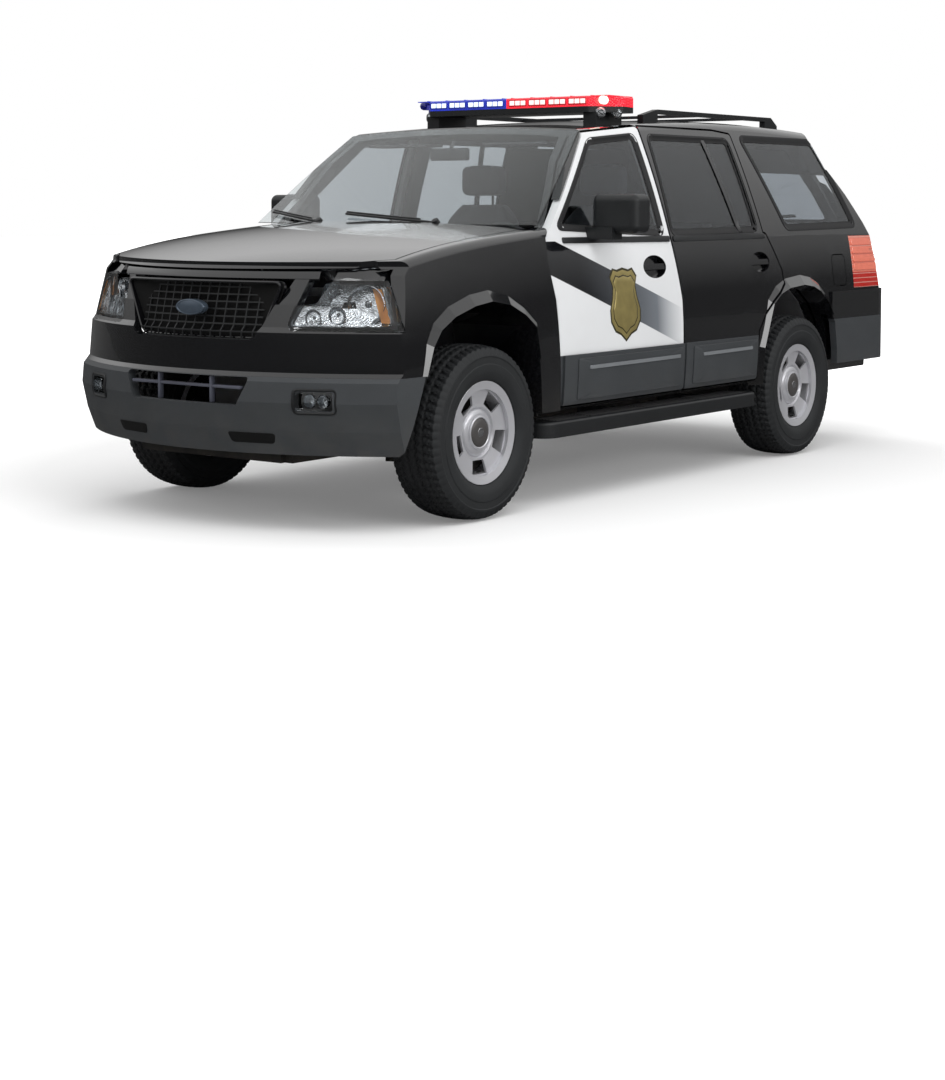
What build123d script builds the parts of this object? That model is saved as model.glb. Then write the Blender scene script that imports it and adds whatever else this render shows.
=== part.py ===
from build123d import *
import math
import os

# A full-size police sport utility vehicle, as its separate panels, glass, running gear and lamps.
# Frame: +X forward, +Y to the vehicle's left, +Z up, origin on the ground under the middle of its length.
# All lengths are millimetres.

os.makedirs("parts", exist_ok=True)
SIDES = [("left", 1), ("right", -1)]

# Overall sizes
HALF_LENGTH = 2613.0
ROOF_Z = 1905.0  # crown of the roof
HALF_WIDTH = 976.0  # door skin at the waist
WHEELBASE = 3023.0
FRONT_AXLE_X = 1635.0
REAR_AXLE_X = FRONT_AXLE_X - WHEELBASE
TRACK = 1702.0
OVERRUN = 60.0  # how far every cutting solid runs past what it cuts
GAP = 7.0  # round the panels that open
SEAM = 0.4  # between pieces that are fastened together

# Body shell
SILL_Z = 440.0
WAIST_Z = 830.0
BELT_Z = 1262.0
SILL_HALF_SHARE = 0.985  # of the half width
BELT_HALF_SHARE = 0.945
SIDE_LEAN_SHARE = 0.33  # inward lean of the cabin side, to its height above the belt
ROOF_EDGE_DROP = 24.0
CABIN_BULGE = 12.0
ROOF_CORNER_R = 62.0
DOOR_DEPTH = 120.0
DOOR_FRAME_DEPTH = 46.0  # the window frame's
DOOR_STEP = 14.0  # by which the doors' edges step in behind their outer flange
DOOR_RIM_HALF = 903.0  # how far out that step reaches
INNER_SILL_HALF = 866.0  # how far out the doors' inner sills reach
JAMB_CLEAR = 14.0
JAMB_DEPTH = 40.0
DOOR_GAP = 11.0  # round the side doors
JAMB_LAP = 38.0  # how far the pillars reach behind the doors' edges
ROOF_SKIN = 36.0
ROOF_PANEL_HALF = 640.0
DOOR_TOP_HALF = 684.0  # where the doors' top edges end, towards the middle
GLASS_T = 5.0
GLASS_INSET = 8.0
WINDOW_CORNER_R = 34.0
SHUT_CORNER_R = 45.0

# Windshield, as two arcs seen from above, one low and one high
GLASS_LOW_Z = 1280.0
GLASS_HIGH_Z = 1860.0
GLASS_LOW_X = 1375.0
GLASS_LOW_SAG = 235.0  # of the ends behind the middle
GLASS_LOW_HALF = 831.0
GLASS_HIGH_X = 500.0
GLASS_HIGH_SAG = 36.0
GLASS_HIGH_HALF = 674.0
SHIELD_T = 11.0  # along X
SHIELD_EDGE = 6.0  # inside the pillars' faces
SHIELD_BASE_Z = 1338.0
SHIELD_TOP_Z = 1822.0

# Nose
NOSE_AXIS_X = 973.0  # the front face turns about this upright line
FASCIA_T = 46.0
FENDER_T = 42.0
HOOD_T = 26.0
HOOD_SHOULDER_R = 46.0
VALANCE_TOP_Z = 690.0
BUMPER_TOP_Z = 886.4
HOOD_HALF = 858.0
HOOD_REAR_X = 1186.0
HOOD_REAR_BOW = 146.0
NOSE_REAR_X = 1000.0
NOSE_FLOOR_Z = 350.0

# Tail
TAIL_AXIS_X = 980.0
GATE_T = 58.0
GATE_FLOOR_Z = 944.0
GATE_ROOF_X = -1975.0
GATE_LOW_HALF = 752.0
GATE_HIGH_HALF = 640.0
REAR_BUMPER_TOP_Z = 926.0
REAR_VALANCE_TOP_Z = 764.0
REAR_BUMPER_LOW_Z = 500.0
REAR_BUMPER_HALF = 984.0
REAR_BUMPER_BOW = 46.0
REAR_BUMPER_CORNER_R = 170.0
REAR_BUMPER_T = 40.0
TAIL_LAMP_LOW_Z = 941.0
TAIL_LAMP_HIGH_Z = 1252.0
TAIL_LAMP_FRONT_X = -2104.0

# Wheels
TYRE_R = 401.5
TYRE_W = 267.0
TYRE_SHOULDER = 52.0
RIM_FLANGE_R = 235.0
RIM_SEAT_R = 216.0
RIM_BARREL_R = 198.0
RIM_HALF = 106.0
RIM_DISC_Y = 62.0  # disc face, outboard of the wheel's middle
RIM_DISC_T = 12.0
HUB_R = 106.0
HUB_CAP_R = 70.0
HUB_BORE_R = 34.0
HUB_CLEAR = 0.5
WINDOW_COUNT = 5
STEER_AXIS_Y = 780.0
STEER_PIN_R = 15.0
STEER_PIN_CLEAR = 0.5
BALL_DROP = 140.0

# Frame and running gear
RAIL_Y = 425.0
RAIL_W = 90.0
RAIL_LOW_Z = 300.0
RAIL_H = 118.0
RAIL_FRONT_X = 2380.0
RAIL_REAR_X = -2440.0
FLOOR_T = 28.0
MOUNT_R = 40.0


# Sizes that belong to single pieces
LAMP_DEPTH = 70.0
JAMB_LIMIT = 560.0
GATE_WINDOW_TOP_Z = 1770.0
GATE_HINGE_Y = 300.0
GATE_HINGE_Z = 1874.0
HINGE_T = 6.0
REAR_BUMPER_FRONT_X = -1786.0
HOOD_LOW_Z = 1000.0
HOOD_CORNER_SHARE = 0.822  # where the hood's edge turns in behind the headlamp
HOOD_LAMP_SHARE = 0.918
HOOD_FRONT_HALF = 600.0
HEADLAMP_DEPTH = 90.0
HEADLAMP_REAR_X = 2214.0
HEADLAMP_CORNER_R = 34.0
GRILLE_CORNER_R = 48.0
GRILLE_INSET = 34.0
GRILLE_ROW = 33.0
GRILLE_COLUMN = 56.0
WIRE_T = 6.0
FOG_CORNER_R = 16.0
NOSE_SHELL_REAR_X = 1900.0
BUMPER_END_HALF = 800.0
BRACKET_X = 1066.0  # of the fender's bracket on the hinge pillar
BRACKET_L = 16.0
BRACKET_Z = 560.0
BRACKET_H = 130.0
COWL_DROP = 12.0
COWL_REACH = 70.0  # how far it runs under the glass's foot

# Wheel and hub details
RIM_LIP_T = 8.0
RIM_DISH = 24.0  # rise of the disc towards the rim's edge
HUB_RISE = 14.0
HUB_SET = 34.0  # depth of the hub behind the disc
CAP_RISE = 26.0
CAP_SET = 8.0
WINDOW_LOW_R = 127.0
WINDOW_HIGH_R = 190.0
WINDOW_HALF = 56.0
WINDOW_SLOPE = 76.0  # degrees, of the sides of a window in the disc
SPINDLE_LAP = 20.0

# Knuckles, arms and axle
KNUCKLE_HALF = 36.0
KNUCKLE_R = 74.0
ARM_T = 34.0
ARM_TIP_HALF = 30.0
ARM_FOOT_HALF = 105.0
BALL_H = 24.0
DIFF_R = 120.0
DIFF_HALF = 150.0
SHAFT_R = 24.0
CROSS_W = 110.0
CROSS_H = 80.0

# Engine and tank
ENGINE_FRONT_X = 2060.0
ENGINE_REAR_X = 1330.0
ENGINE_HALF = 310.0
ENGINE_LOW_Z = 430.0
ENGINE_TOP_Z = 1020.0

# Floor and firewall
FLOOR_HALF = ROOF_PANEL_HALF - SEAM
FIREWALL_HALF = 780.0
LINER_IN_Y = 500.0
LINER_FRONT_X = 1985.0
LINER_T = 6.0
FIREWALL_X = 1180.0
FIREWALL_TOP_Z = 1255.0
FLOOR_REAR_X = -2400.0
WHEELHOUSE_HALF = 560.0
WHEELHOUSE_OUT_Y = 786.0

# Running boards, rack and light bar
BOARD_FRONT_X = 1186.0
BOARD_REAR_X = -889.0
BOARD_LOW_Z = 330.0
BOARD_H = 76.0
BOARD_IN_Y = 800.0
BOARD_OUT_Y = 998.0
BOARD_CORNER_R = 90.0
BOARD_EDGE_R = 14.0
RACK_Y = 610.0
RACK_W = 36.0
RACK_H = 24.0
RACK_FRONT_X = -240.0
RACK_REAR_X = -1740.0
RACK_RISE = 46.0  # clear height under the rails
RACK_FOOT = 150.0
BAR_FRONT_X = 140.0
BAR_REAR_X = -160.0
BAR_HALF = 650.0
BAR_CORNER_HALF = 520.0
BAR_LOW_Z = 1921.0
BAR_TOP_Z = 2006.0
BAR_BASE_H = 30.0
BAR_CORNER_R = 26.0
BAR_FOOT_HALF = 40.0
BAR_EDGE_R = 10.0

# Cabin
SEAT_Y = 390.0
SEAT_W = 520.0
SEAT_CUSHION_L = 520.0
SEAT_CUSHION_H = 150.0
SEAT_BACK_T = 130.0
SEAT_BACK_H = 620.0
SEAT_BASE_H = 250.0
FRONT_SEAT_X = 190.0
REAR_SEAT_X = -760.0
REAR_SEAT_W = 1100.0
HUMP_L = 440.0  # raised floor over the final drive
HUMP_TOP_Z = 600.0
SEAT_EDGE_R = 40.0
HEADREST_W = 250.0
HEADREST_H = 170.0
HEADREST_T = 90.0
DASH_REAR_X = 720.0
DASH_LOW_Z = 880.0
DASH_TOP_Z = 1240.0
DASH_HALF = 740.0
WHEEL_RING_R = 190.0
WHEEL_TUBE_R = 15.0
WHEEL_TILT = 25.0

# Cladding, arch flares and door handles
CLAD_T = 12.0
CLAD_TOP_Z = 715.0
CLAD_FRONT_X = 1190.0
CLAD_DOOR_X = 1016.0  # where it starts on the front door, clear of the fender as the door swings
CLAD_END_X = -880.0
FLARE_OUT = 20.0
FLARE_ROOT = 30.0  # how deep its foot lies in the skin
FLARE_W = 78.0
FLARE_TAPER = 57.0  # degrees
HANDLE_HALF = 106.0
HANDLE_HALF_H = 56.0
HANDLE_DEPTH = 30.0
HANDLE_BAR_H = 30.0
HANDLE_BAR_T = 15.0
HANDLE_Z = 1120.0
HANDLE_PLACES_X = [150.0, -965.0]

# Mirrors and fuel flap
MIRROR_X = 650.0
MIRROR_TIP_Y = 1195.0
MIRROR_W = 262.0
MIRROR_LOW_Z = 1297.0
MIRROR_H = 191.0
MIRROR_L = 150.0
MIRROR_EDGE_R = 36.0
MIRROR_ARM_H = 60.0
MIRROR_ARM_L = 90.0
FLAP_X = -1923.0
FLAP_Z = 1051.0
FLAP_W = 165.0
FLAP_H = 178.0
FLAP_T = 12.0
FLAP_CORNER_R = 30.0
FLAP_CUP = 46.0
FLAP_GAP = 6.0


def side_points(shares):
    """Side-view places (x, z) from shares of the half length and of the roof's height."""
    return [(HALF_LENGTH * x, ROOF_Z * z) for x, z in shares]


def side_cut(points, y_from, y_to, corner=0.0):
    """A solid with this side-view outline, between two places across the vehicle."""
    with BuildPart() as cut:
        with BuildSketch(Plane.XZ.offset(-y_from)) as outline:
            with BuildLine():
                Polyline(*points, close=True)
            make_face()
            if corner:
                fillet(outline.vertices(), corner)
        extrude(amount=y_from - y_to)
    return cut.part


def end_cut(points, x_from, x_to, corner=0.0):
    """A solid with this outline seen from the front (y, z), between two places along the vehicle."""
    with BuildPart() as cut:
        with BuildSketch(Plane(origin=(x_from, 0, 0), x_dir=(0, 1, 0), z_dir=(1, 0, 0))) as outline:
            with BuildLine():
                Polyline(*points, close=True)
            make_face()
            if corner:
                fillet(outline.vertices(), corner)
        extrude(amount=x_to - x_from)
    return cut.part


def plan_cut(points, z_from, z_to, corner=0.0):
    """A solid with this outline seen from above (x, y), between two heights."""
    with BuildPart() as cut:
        with BuildSketch(Plane.XY.offset(z_from)) as outline:
            with BuildLine():
                Polyline(*points, close=True)
            make_face()
            if corner:
                fillet(outline.vertices(), corner)
        extrude(amount=z_to - z_from)
    return cut.part


def grown_end_cut(points, x_from, x_to, growth, corner):
    """A front-view cut with its outline grown outward by a clearance."""
    with BuildPart() as cut:
        with BuildSketch(Plane(origin=(x_from, 0, 0), x_dir=(0, 1, 0), z_dir=(1, 0, 0))) as outline:
            with BuildLine():
                Polyline(*points, close=True)
            make_face()
            fillet(outline.vertices(), corner)
            offset(amount=growth, kind=Kind.INTERSECTION)
        extrude(amount=x_to - x_from)
    return cut.part


def grown_cut(points, y_from, y_to, growth, corner):
    """The same, with its outline grown outward by a clearance."""
    with BuildPart() as cut:
        with BuildSketch(Plane.XZ.offset(-y_from)) as outline:
            with BuildLine():
                Polyline(*points, close=True)
            make_face()
            fillet(outline.vertices(), corner)
            offset(amount=growth, kind=Kind.INTERSECTION)
        extrude(amount=y_from - y_to)
    return cut.part


def box_between(low, high):
    """A plain block between two corners, for cutting."""
    middle = [(a + b) / 2 for a, b in zip(low, high)]
    sizes = [b - a for a, b in zip(low, high)]
    return Pos(*middle) * Box(*sizes, mode=Mode.PRIVATE)


def ring_about_y(points, y):
    """A turned solid about a line across the vehicle, from (radius, place across) points."""
    with BuildPart() as ring:
        with BuildSketch(Plane.XY):
            with BuildLine():
                Polyline(*[(r, y + a) for r, a in points], close=True)
            make_face()
        revolve(axis=Axis.Y)
    return ring.part


# Body stations from the cowl to the tail. Columns: place along the half length, width and crown height,
# each as a share.
BODY_STATION_SHARES = [
    (0.560, 0.990, 0.932),
    (0.172, 1.000, 0.968),
    (-0.115, 1.000, 0.996),
    (-0.610, 1.000, 1.000),
    (-1.020, 0.986, 0.976),
]


def body_section(x, width, crown, side_in, cabin_in, roof_in, floor_in):
    """One cross-section of the body, drawn inward of the skin by the depths given."""
    sill = width * SILL_HALF_SHARE - side_in
    waist = width - side_in
    belt = width * BELT_HALF_SHARE - side_in
    corner_z = crown - ROOF_EDGE_DROP - roof_in
    glass_foot = width * BELT_HALF_SHARE - cabin_in
    corner = glass_foot - SIDE_LEAN_SHARE * (corner_z - BELT_Z)
    mid = (glass_foot + corner) / 2 + CABIN_BULGE
    mid_z = (BELT_Z + corner_z) / 2
    low_z = SILL_Z + floor_in
    with BuildSketch(Plane(origin=(x, 0, 0), x_dir=(0, 1, 0), z_dir=(1, 0, 0))) as section:
        with BuildLine():
            Line((-sill, low_z), (sill, low_z))
            ThreePointArc((sill, low_z), (waist, WAIST_Z), (belt, BELT_Z))
            if side_in != cabin_in:
                Line((belt, BELT_Z), (glass_foot, BELT_Z))
            ThreePointArc((glass_foot, BELT_Z), (mid, mid_z), (corner, corner_z))
            ThreePointArc((corner, corner_z), (0, crown - roof_in), (-corner, corner_z))
            ThreePointArc((-corner, corner_z), (-mid, mid_z), (-glass_foot, BELT_Z))
            if side_in != cabin_in:
                Line((-glass_foot, BELT_Z), (-belt, BELT_Z))
            ThreePointArc((-belt, BELT_Z), (-waist, WAIST_Z), (-sill, low_z))
        make_face()
        if not roof_in:
            fillet(section.vertices().group_by(Axis.Z)[-1], ROOF_CORNER_R)
    return section.sketch


def body_hull(side_in=0, cabin_in=0, roof_in=0, floor_in=0):
    """The body from cowl to tail as one closed form, before its ends are cut."""
    with BuildPart() as hull:
        for x, width, crown in BODY_STATION_SHARES:
            add(body_section(HALF_LENGTH * x, HALF_WIDTH * width, ROOF_Z * crown,
                             side_in, cabin_in, roof_in, floor_in))
        loft()
    return hull.part


def shield_face(z, setback):
    """What lies behind the windshield's outer face at one height."""
    rise = (z - GLASS_LOW_Z) / (GLASS_HIGH_Z - GLASS_LOW_Z)
    middle = GLASS_LOW_X + (GLASS_HIGH_X - GLASS_LOW_X) * rise - setback
    sag = GLASS_LOW_SAG + (GLASS_HIGH_SAG - GLASS_LOW_SAG) * rise
    half = GLASS_LOW_HALF + (GLASS_HIGH_HALF - GLASS_LOW_HALF) * rise
    radius = (half ** 2 + sag ** 2) / (2 * sag)
    reach = HALF_WIDTH + OVERRUN
    end = middle - radius + math.sqrt(radius ** 2 - reach ** 2)
    back = -HALF_LENGTH - OVERRUN
    with BuildSketch(Plane.XY.offset(z)) as face:
        with BuildLine():
            ThreePointArc((end, -reach), (middle, 0), (end, reach))
            Polyline((end, reach), (back, reach), (back, -reach), (end, -reach))
        make_face()
    return face.sketch


def behind_shield(setback=0):
    with BuildPart() as region:
        add(shield_face(SILL_Z - OVERRUN, setback))
        add(shield_face(GLASS_HIGH_Z + OVERRUN, setback))
        loft(ruled=True)
    return region.part


# Upright profiles of the two ends. Columns: reach from the middle as a share of the half length,
# height as a share of the roof's.
NOSE_PROFILE_SHARES = [
    (0.972, 0.170),
    (0.990, 0.240),
    (1.000, 0.305),
    (0.997, 0.352),
    (0.985, 0.372),
    (0.980, 0.462),
    (0.973, 0.474),
    (0.952, 0.592),
    (0.940, 0.612),
    (0.936, 0.800),
]
TAIL_PROFILE_SHARES = [
    (0.991, 0.170),
    (0.991, 0.494),
    (0.968, 0.657),
    (0.946, 0.697),
    (0.885, 0.788),
    (0.811, 0.880),
    (0.768, 0.965),
    (0.762, 1.100),
]


def turned_form(shares, axis_x, facing, inset):
    """The solid inside an end face that turns about an upright line."""
    points = [(facing * (HALF_LENGTH * r - inset), ROOF_Z * z) for r, z in shares]
    top = points[-1][1]
    bottom = points[0][1]
    with BuildPart() as form:
        with BuildSketch(Plane.XZ):
            with BuildLine():
                Polyline((axis_x, bottom), *points, (axis_x, top), close=True)
            make_face()
        revolve(axis=Axis((axis_x, 0, 0), (0, 0, 1)))
    return form.part


# Nose stations. Columns: place along the half length, width, shoulder height and crown height, as shares.
NOSE_STATION_SHARES = [
    (0.383, 1.000, 0.696, 0.727),
    (0.628, 1.008, 0.667, 0.698),
    (0.818, 0.998, 0.625, 0.662),
    (1.010, 0.975, 0.545, 0.586),
]


def nose_hull(side_in=0, top_in=0):
    """Fenders and hood as one closed form, before the front face is cut."""
    with BuildPart() as hull:
        for x, width, shoulder, crown in NOSE_STATION_SHARES:
            waist = HALF_WIDTH * width - side_in
            edge = HALF_WIDTH * width * BELT_HALF_SHARE - side_in
            edge_z = ROOF_Z * shoulder - top_in
            plane = Plane(origin=(HALF_LENGTH * x, 0, 0), x_dir=(0, 1, 0), z_dir=(1, 0, 0))
            with BuildSketch(plane) as section:
                with BuildLine():
                    Line((-waist, NOSE_FLOOR_Z), (waist, NOSE_FLOOR_Z))
                    ThreePointArc((waist, NOSE_FLOOR_Z), (waist, WAIST_Z), (edge, edge_z))
                    ThreePointArc((edge, edge_z), (0, ROOF_Z * crown - top_in), (-edge, edge_z))
                    ThreePointArc((-edge, edge_z), (-waist, WAIST_Z), (-waist, NOSE_FLOOR_Z))
                make_face()
                if not top_in:
                    fillet(section.vertices().group_by(Axis.Z)[-1], HOOD_SHOULDER_R)
        loft()
    return hull.part


# Side-view outlines of the left side, as shares (x of the half length, z of the roof's height)
FRONT_DOOR_SHARES = [
    (0.398, 0.249),
    (0.398, 0.370),
    (0.405, 0.517),
    (0.421, 0.612),
    (0.420, 0.668),
    (0.385, 0.706),
    (0.200, 0.943),
    (-0.003, 0.968),
    (-0.014, 0.668),
    (-0.035, 0.494),
    (-0.035, 0.249),
]
REAR_DOOR_SHARES = [
    (-0.041, 0.249),
    (-0.041, 0.494),
    (-0.020, 0.668),
    (-0.009, 0.968),
    (-0.300, 0.968),
    (-0.372, 0.960),
    (-0.400, 0.670),
    (-0.411, 0.668),
    (-0.460, 0.561),
    (-0.463, 0.525),
    (-0.399, 0.471),
    (-0.346, 0.389),
    (-0.338, 0.249),
]
FRONT_WINDOW_SHARES = [(0.374, 0.694), (0.190, 0.925), (0.017, 0.945), (0.006, 0.674)]
REAR_WINDOW_SHARES = [(-0.028, 0.674), (-0.032, 0.945), (-0.353, 0.945), (-0.379, 0.680)]
QUARTER_WINDOW_SHARES = [(-0.513, 0.684), (-0.412, 0.953), (-0.748, 0.953), (-0.853, 0.690)]
FENDER_SHARES = [
    (0.402, 0.239),
    (0.402, 0.370),
    (0.409, 0.517),
    (0.425, 0.612),
    (0.424, 0.672),
    (0.394, 0.712),
    (0.846, 0.712),
    (0.846, 0.4655),
    (0.700, 0.4655),
    (0.500, 0.239),
]
PILLAR_SHARES = [(0.380, 0.704), (0.215, 0.990), (-0.790, 0.990), (-0.930, 0.690), (-1.010, 0.500),
                 (-1.010, 0.236), (0.396, 0.236), (0.396, 0.370), (0.402, 0.517), (0.418, 0.612),
                 (0.418, 0.668)]

JAMB_SHARES = PILLAR_SHARES[:6] + [(0.412, 0.236), (0.412, 0.370), (0.418, 0.517), (0.430, 0.612),
                                   (0.426, 0.668)]
# Front-view outlines, as shares of the half width and of the roof's height
LAMP_FACE_SHARES = [(0.512, 0.4665), (1.030, 0.4665), (1.030, 0.574), (0.582, 0.594)]
GRILLE_SHARES = [(-0.375, 0.444), (0.375, 0.444), (0.499, 0.579), (-0.499, 0.579)]
INTAKE_SHARES = [(-0.326, 0.296), (0.326, 0.296), (0.389, 0.3605), (-0.389, 0.3605)]
FOG_SHARES = [(0.605, 0.288), (0.763, 0.288), (0.763, 0.331), (0.605, 0.331)]

# Wheel arches, as shares of the tyre's radius from the axle: (x, z above the ground)
FRONT_ARCH_SHARES = [
    (1.560, 0.700),
    (1.330, 1.207),
    (1.128, 1.727),
    (1.017, 2.030),
    (0.880, 2.205),
    (0.633, 2.341),
    (0.264, 2.446),
    (-0.055, 2.486),
    (-0.401, 2.433),
    (-0.697, 2.306),
    (-0.919, 2.157),
    (-1.021, 1.731),
    (-1.083, 0.900),
]
REAR_ARCH_SHARES = [
    (1.180, 0.900),
    (1.095, 1.600),
    (0.839, 2.199),
    (0.630, 2.331),
    (0.364, 2.406),
    (-0.060, 2.438),
    (-0.339, 2.406),
    (-0.558, 2.334),
    (-0.849, 2.147),
    (-1.083, 1.858),
    (-1.161, 1.440),
    (-1.161, 0.900),
]


def arch_points(shares, axle_x):
    return [(axle_x + TYRE_R * x, TYRE_R * z) for x, z in shares]


def arch_flare(points):
    """A ring round a wheel arch that slopes out from the skin to the arch's edge, on the left side."""
    root_y = HALF_WIDTH - FLARE_ROOT
    with BuildPart() as flare:
        with BuildSketch(Plane.XZ.offset(-root_y)):
            with BuildLine():
                Polyline(*points, close=True)
            make_face()
            offset(amount=FLARE_W, kind=Kind.INTERSECTION)
        extrude(amount=-(FLARE_ROOT + FLARE_OUT), taper=FLARE_TAPER)
    return flare.part - side_cut(points, 0, WIDE)


WIDE = HALF_WIDTH + OVERRUN
FRONT_ARCH = arch_points(FRONT_ARCH_SHARES, FRONT_AXLE_X)
REAR_ARCH = arch_points(REAR_ARCH_SHARES, REAR_AXLE_X)
FAR = HALF_LENGTH + OVERRUN
TOP = ROOF_Z + OVERRUN

# The envelopes that the panels are cut from
shell_outer = body_hull()
shell_door_inner = body_hull(DOOR_DEPTH, DOOR_FRAME_DEPTH, ROOF_SKIN, FLOOR_T)
jamb_outer = body_hull(DOOR_DEPTH + JAMB_CLEAR, DOOR_FRAME_DEPTH + JAMB_CLEAR, ROOF_SKIN, FLOOR_T)
jamb_inner = body_hull(DOOR_DEPTH + JAMB_CLEAR + JAMB_DEPTH, DOOR_FRAME_DEPTH + JAMB_CLEAR + JAMB_DEPTH,
                       ROOF_SKIN, FLOOR_T)
tail_outer = turned_form(TAIL_PROFILE_SHARES, TAIL_AXIS_X, -1, 0)
tail_inner = turned_form(TAIL_PROFILE_SHARES, TAIL_AXIS_X, -1, GATE_T)
shield_outer = behind_shield()
shield_inner = behind_shield(SHIELD_T)
shield_seat = behind_shield(SHIELD_T + SEAM)
cabin_outer = shell_outer & shield_seat & tail_outer
door_band = cabin_outer - shell_door_inner
nose_outer = turned_form(NOSE_PROFILE_SHARES, NOSE_AXIS_X, 1, 0)
nose_inner = turned_form(NOSE_PROFILE_SHARES, NOSE_AXIS_X, 1, FASCIA_T)
nose_skin = nose_hull() & nose_outer
nose_under_hood = nose_hull(0, HOOD_T + GAP) & nose_outer
clad_band = ((body_hull(-CLAD_T, -CLAD_T) - body_hull(CLAD_T, CLAD_T))
             & box_between((-FAR, 0, 0), (FAR, WIDE, CLAD_TOP_Z)))
front_flare = arch_flare(FRONT_ARCH)
rear_flare = arch_flare(REAR_ARCH)
handle_skin = body_hull(GLASS_INSET / 2, GLASS_INSET / 2) - body_hull(HANDLE_BAR_T, HANDLE_BAR_T)
shield_clear = behind_shield(-SEAM) & box_between((-FAR, -WIDE, SHIELD_BASE_Z - SEAM), (FAR, WIDE, TOP))

# Doors, each as thick as the whole door, with its window cut through
DOORS = [
    ("front", side_points(FRONT_DOOR_SHARES), side_points(FRONT_WINDOW_SHARES)),
    ("rear", side_points(REAR_DOOR_SHARES), side_points(REAR_WINDOW_SHARES)),
]
with BuildPart() as handle_cups:
    with BuildSketch(Plane.XZ.offset(DOOR_DEPTH - HALF_WIDTH)):
        with Locations(*[(x, HANDLE_Z) for x in HANDLE_PLACES_X]):
            Ellipse(HANDLE_HALF, HANDLE_HALF_H)
    extrude(amount=-(DOOR_DEPTH + OVERRUN))
    add(body_hull(HANDLE_DEPTH, HANDLE_DEPTH), mode=Mode.SUBTRACT)
with BuildPart() as handle_bars:
    with BuildSketch(Plane.XZ.offset(DOOR_DEPTH - HALF_WIDTH)):
        with Locations(*[(x, HANDLE_Z) for x in HANDLE_PLACES_X]):
            Rectangle(2 * HANDLE_HALF + HANDLE_BAR_H, HANDLE_BAR_H)
    extrude(amount=-(DOOR_DEPTH + OVERRUN))
    add(handle_skin, mode=Mode.INTERSECT)
door_cladding = clad_band & box_between((CLAD_END_X, 0, 0), (CLAD_DOOR_X, WIDE, CLAD_TOP_Z))
door_trim = door_cladding + rear_flare
glass_band = (body_hull(GLASS_INSET, GLASS_INSET, GLASS_INSET)
              - body_hull(GLASS_INSET + GLASS_T, GLASS_INSET + GLASS_T, GLASS_INSET + GLASS_T))
# The doors' edges step in behind their outer flange, and their inner sill lies below the pillars' one
door_core = box_between((-FAR, 0, 0), (FAR, DOOR_RIM_HALF, BELT_Z - JAMB_CLEAR / 2))
sill_drop = box_between((-FAR, 0, BELT_Z - JAMB_CLEAR), (FAR, INNER_SILL_HALF, BELT_Z + SEAM))
for place, outline, window in DOORS:
    with BuildPart() as left_door:
        add(door_band)
        outline_cut = side_cut(outline, DOOR_TOP_HALF, WIDE, SHUT_CORNER_R / 3)
        add(outline_cut, mode=Mode.INTERSECT)
        add(door_core - grown_cut(outline, 0, WIDE, -DOOR_STEP, SHUT_CORNER_R / 3), mode=Mode.SUBTRACT)
        add(sill_drop, mode=Mode.SUBTRACT)
        add(side_cut(window, 0, WIDE, WINDOW_CORNER_R), mode=Mode.SUBTRACT)
        add(handle_cups.part, mode=Mode.SUBTRACT)
        add(door_trim & outline_cut)
        add(handle_bars.part & outline_cut)
    with BuildPart() as left_pane:
        add(glass_band)
        add(grown_cut(window, 0, WIDE, -SEAM, WINDOW_CORNER_R), mode=Mode.INTERSECT)
    for side, sign in SIDES:
        with BuildPart() as door:
            add(left_door.part)
            if sign < 0:
                mirror(about=Plane.XZ, mode=Mode.REPLACE)
        door.part.label = f"door_{place}_{side}"
        export_step(door.part, f"parts/door_{place}_{side}.step")
        with BuildPart() as door_glass:
            add(left_pane.part)
            if sign < 0:
                mirror(about=Plane.XZ, mode=Mode.REPLACE)
        door_glass.part.label = f"glass_{place}_{side}"
        export_step(door_glass.part, f"parts/glass_{place}_{side}.step")

# Body sides: pillars, roof rails, rockers and quarter panels, with the jambs that the doors close on
quarter_window = side_points(QUARTER_WINDOW_SHARES)
jamb_ring = (jamb_outer & shield_seat & tail_inner) - jamb_inner
gate_opening_points = [
    (GATE_LOW_HALF + GAP, GATE_FLOOR_Z - GAP),
    (GATE_LOW_HALF + GAP, BELT_Z),
    (GATE_HIGH_HALF + GAP, TOP),
    (-GATE_HIGH_HALF - GAP, TOP),
    (-GATE_LOW_HALF - GAP, BELT_Z),
    (-GATE_LOW_HALF - GAP, GATE_FLOOR_Z - GAP),
]
gate_points = [
    (GATE_LOW_HALF, GATE_FLOOR_Z),
    (GATE_LOW_HALF, BELT_Z),
    (GATE_HIGH_HALF, TOP),
    (-GATE_HIGH_HALF, TOP),
    (-GATE_LOW_HALF, BELT_Z),
    (-GATE_LOW_HALF, GATE_FLOOR_Z),
]
tail_seat = turned_form(TAIL_PROFILE_SHARES, TAIL_AXIS_X, -1, GATE_T + GAP)
gate_opening = end_cut(gate_opening_points, -FAR, 0) - tail_seat
lamp_core = (body_hull(LAMP_DEPTH, LAMP_DEPTH, LAMP_DEPTH, -OVERRUN)
             & turned_form(TAIL_PROFILE_SHARES, TAIL_AXIS_X, -1, LAMP_DEPTH))
lamp_zone = box_between((-FAR, 0, TAIL_LAMP_LOW_Z), (TAIL_LAMP_FRONT_X, WIDE, TAIL_LAMP_HIGH_Z))
bumper_zone = box_between((-FAR, 0, 0), (REAR_BUMPER_FRONT_X, WIDE, REAR_BUMPER_TOP_Z + SEAM))
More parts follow.
